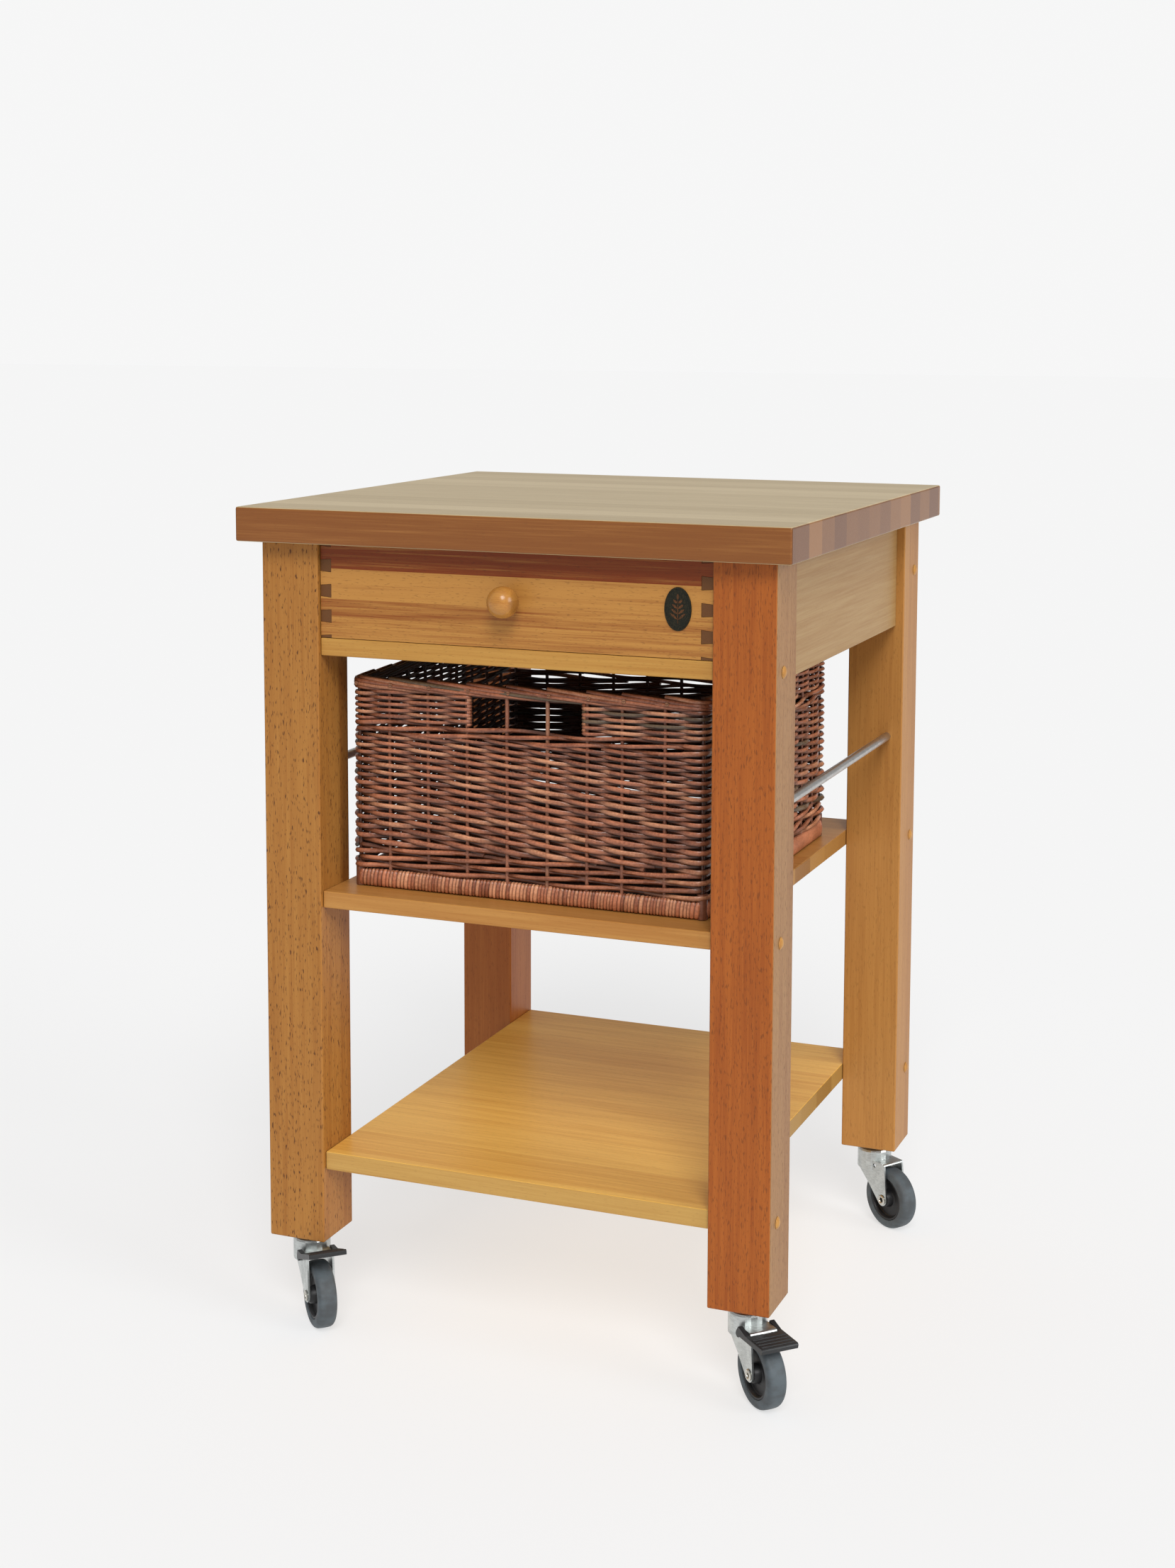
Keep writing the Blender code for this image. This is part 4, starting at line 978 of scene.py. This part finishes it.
# ---- casters: wheels
# A dished black plastic wheel with a raised hub, in a grey rubber tyre with rounded shoulders and a
# tread that swells slightly to its middle.
rubber = Finish("grey_rubber", 0.62)
x, y, z = rubber.place()
dirt = rubber.cloud(x, y, z, 70, 4)
grit = rubber.cloud(x, y, z, 1500, 2)
smears = rubber.cloud(x * 40, y * 40, z * 160, 1.0, 3)
rubber.drive("Base Color", rubber.blend((dirt * 0.6 + smears * 0.4).above(0.38, 0.66),
                                        (0.076, 0.095, 0.107), (0.053, 0.06, 0.065)))
rubber.drive("Roughness", 0.52 + dirt * 0.22)
rubber.bump(grit, 0.25, 0.0002)


def moulded_plastic(name, colour, roughness):
    """Injection-moulded plastic: even colour, fine leather grain and a few rubbed patches."""
    finish = Finish(name, roughness, specular_ior_level=0.35)
    finish.bump(finish.cloud(*finish.place(), 2600, 2), 0.2, 0.00015)
    return worn(finish, 110, 3, 0.55, 0.75, colour, [value * 1.5 for value in colour], roughness - 0.06, 0.14)


wheel_plastic = moulded_plastic("black_plastic", (0.013, 0.013, 0.014), 0.42)
WHEEL_RADIUS = 0.0356
TYRE_HALF = 0.0104
TYRE_INNER = 0.0254
TYRE_SHOULDER = 0.0052
SHOULDER_STEPS = 8
HUB_HALF = 0.0091
DISH = HUB_HALF - 0.005
WHEEL = both_ends([(0.0045, 0.0124), (0.0082, 0.0124), (0.0088, 0.0118), (0.01, DISH + 0.001),
                   (0.011, DISH + 0.0002), (0.0122, DISH), (0.0208, DISH), (0.0216, DISH + 0.0006),
                   (0.0226, HUB_HALF - 0.0006), (0.0232, HUB_HALF), (0.0249, HUB_HALF),
                   (0.0252, HUB_HALF - 0.0003)])
turns = [math.radians(90 - 90 * step / SHOULDER_STEPS) for step in range(SHOULDER_STEPS + 1)]
TYRE = both_ends([(TYRE_INNER, HUB_HALF), (TYRE_INNER + 0.0004, HUB_HALF + 0.0008),
                  (TYRE_INNER + 0.0012, TYRE_HALF - 0.0002), (TYRE_INNER + 0.0022, TYRE_HALF)]
                 + [(WHEEL_RADIUS - 0.0002 - TYRE_SHOULDER + TYRE_SHOULDER * math.cos(turn),
                     TYRE_HALF - TYRE_SHOULDER + TYRE_SHOULDER * math.sin(turn)) for turn in turns]
                 + [(WHEEL_RADIUS - 0.00005, 0.003), (WHEEL_RADIUS, 0.0004)])
for corner in CORNERS:
    spin = joints["wheel_spin_" + corner]
    for name, profile, material, node, slot, segments in (
            ("dished_wheel_", WHEEL, wheel_plastic, "wheel_hub_", "black_plastic", 56),
            ("rubber_tyre_", TYRE, rubber.material, "tyre_", "grey_rubber", 72)):
        turned_piece(name + corner, profile, material, "wheel_" + corner, Vector(spin["pos_m"]), spin["axis"],
                     [node + corner], segments, 35)

# ---- casters: brake pedals
# Black moulded pedals on the two front casters, hinged on the fork's cheeks. Cross ribs on the tread
# keep a shoe from slipping.
pedal_plastic = moulded_plastic("pedal_plastic", (0.02, 0.021, 0.022), 0.36)
PEDAL_LIFT = {"front_left": 20.0, "front_right": 0.0}
TREAD_TOP = 0.0038
RIB_REACHES = (0.0275, 0.0335, 0.0395, 0.0455)
RIB_WIDTH, RIB_HALF_LENGTH, RIB_RISE, RIB_SINK = 0.002, 0.0185, 0.0007, 0.0002
RIB_STEPS = 6
for corner, lift in PEDAL_LIFT.items():
    round_edges(paint(frame["nodes"]["brake_pedal_" + corner], pedal_plastic), 0.0009, 3)
    across = Vector(joints["wheel_spin_" + corner]["axis"])
    outward = Vector((across.y, -across.x, 0))
    lift = math.radians(lift)
    ahead = outward * math.cos(lift) + Vector((0, 0, math.sin(lift)))
    upward = Vector((0, 0, math.cos(lift))) - outward * math.sin(lift)
    tread = Matrix((ahead, across, upward)).transposed().to_4x4()
    tread.translation = Vector(joints["brake_" + corner]["pos_m"])
    bm = bmesh.new()
    for reach in RIB_REACHES:
        arch = [(reach - RIB_WIDTH / 2 * math.cos(math.pi * k / RIB_STEPS),
                 TREAD_TOP - RIB_SINK + (RIB_RISE + RIB_SINK) * math.sin(math.pi * k / RIB_STEPS))
                for k in range(RIB_STEPS + 1)]
        near, far = [[bm.verts.new((x, end * RIB_HALF_LENGTH, z)) for x, z in arch] for end in (-1, 1)]
        for k in range(len(arch)):
            following = (k + 1) % len(arch)
            bm.faces.new((near[k], near[following], far[following], far[k]))
        bm.faces.new(near[::-1])
        bm.faces.new(far)
    bmesh.ops.recalc_face_normals(bm, faces=bm.faces)
    bm.transform(tread)
    name = "tread_ribs_" + corner
    new_piece(name, finished_mesh(name, bm, 50), pedal_plastic, "pedal_" + corner, ())

# ---- floor, light and camera
# A pale floor lit faintly from below, an even white surround, a broad soft key light from the front
# and a weaker one from the right.
FLOOR_SIZE = 40.0
bm = bmesh.new()
bmesh.ops.create_grid(bm, x_segments=1, y_segments=1, size=FLOOR_SIZE)
floor_finish = Finish("pale_floor", 1.0, colour=(0.31, 0.31, 0.31), specular_ior_level=0.0,
                      emission_color=(1, 1, 1, 1), emission_strength=0.61)
paint(placed("pale_floor", finished_mesh("pale_floor", bm)), floor_finish.material)

SURROUND_SEEN = 0.925
SURROUND_LIGHT = 0.45
world = bpy.data.worlds.new("white_studio")
world.use_nodes = True
bpy.context.scene.world = world
surround = world.node_tree
background = surround.nodes["Background"]
path = surround.nodes.new("ShaderNodeLightPath")
share = surround.nodes.new("ShaderNodeMix")
share.data_type = "FLOAT"
share.inputs["A"].default_value = SURROUND_LIGHT
share.inputs["B"].default_value = SURROUND_SEEN
surround.links.new(path.outputs["Is Camera Ray"], share.inputs["Factor"])
surround.links.new(share.outputs["Result"], background.inputs["Strength"])
background.inputs["Color"].default_value = (1, 1, 1, 1)

for name, towards, energy, angle in (("key_light", (0.45, -1.0, 1.0), 1.9, 0.45),
                                     ("side_light", (3.2, -0.6, 1.2), 1.15, 0.5)):
    lamp = bpy.data.lights.new(name, "SUN")
    lamp.energy = energy
    lamp.angle = angle
    fixture = placed(name, lamp)
    fixture.location = Vector((0, 0, 0.45)) + Vector(towards)
    fixture.rotation_euler = Vector(towards).to_track_quat("Z", "Y").to_euler()

# The camera stands to the right of the front, a little above the worktop, and looks slightly down.
CAMERA_PLACE = Vector((0.92679, -2.38386, 1.0803))
CAMERA_TURN = math.radians(21.947)
CAMERA_DOWN = math.radians(6.247)
CAMERA_ROLL = math.radians(0.14)
lens_data = bpy.data.cameras.new("camera")
lens_data.sensor_width = 36.0
lens_data.lens = 53.27
lens_data.shift_x = 0.0036
lens_data.shift_y = -0.137
camera = placed("camera", lens_data)
camera.matrix_world = (Matrix.Translation(CAMERA_PLACE) @ Matrix.Rotation(CAMERA_TURN, 4, "Z")
                       @ Matrix.Rotation(math.pi / 2 - CAMERA_DOWN, 4, "X")
                       @ Matrix.Rotation(CAMERA_ROLL, 4, "Z"))
bpy.context.scene.camera = camera
bpy.context.scene.view_settings.view_transform = "Standard"
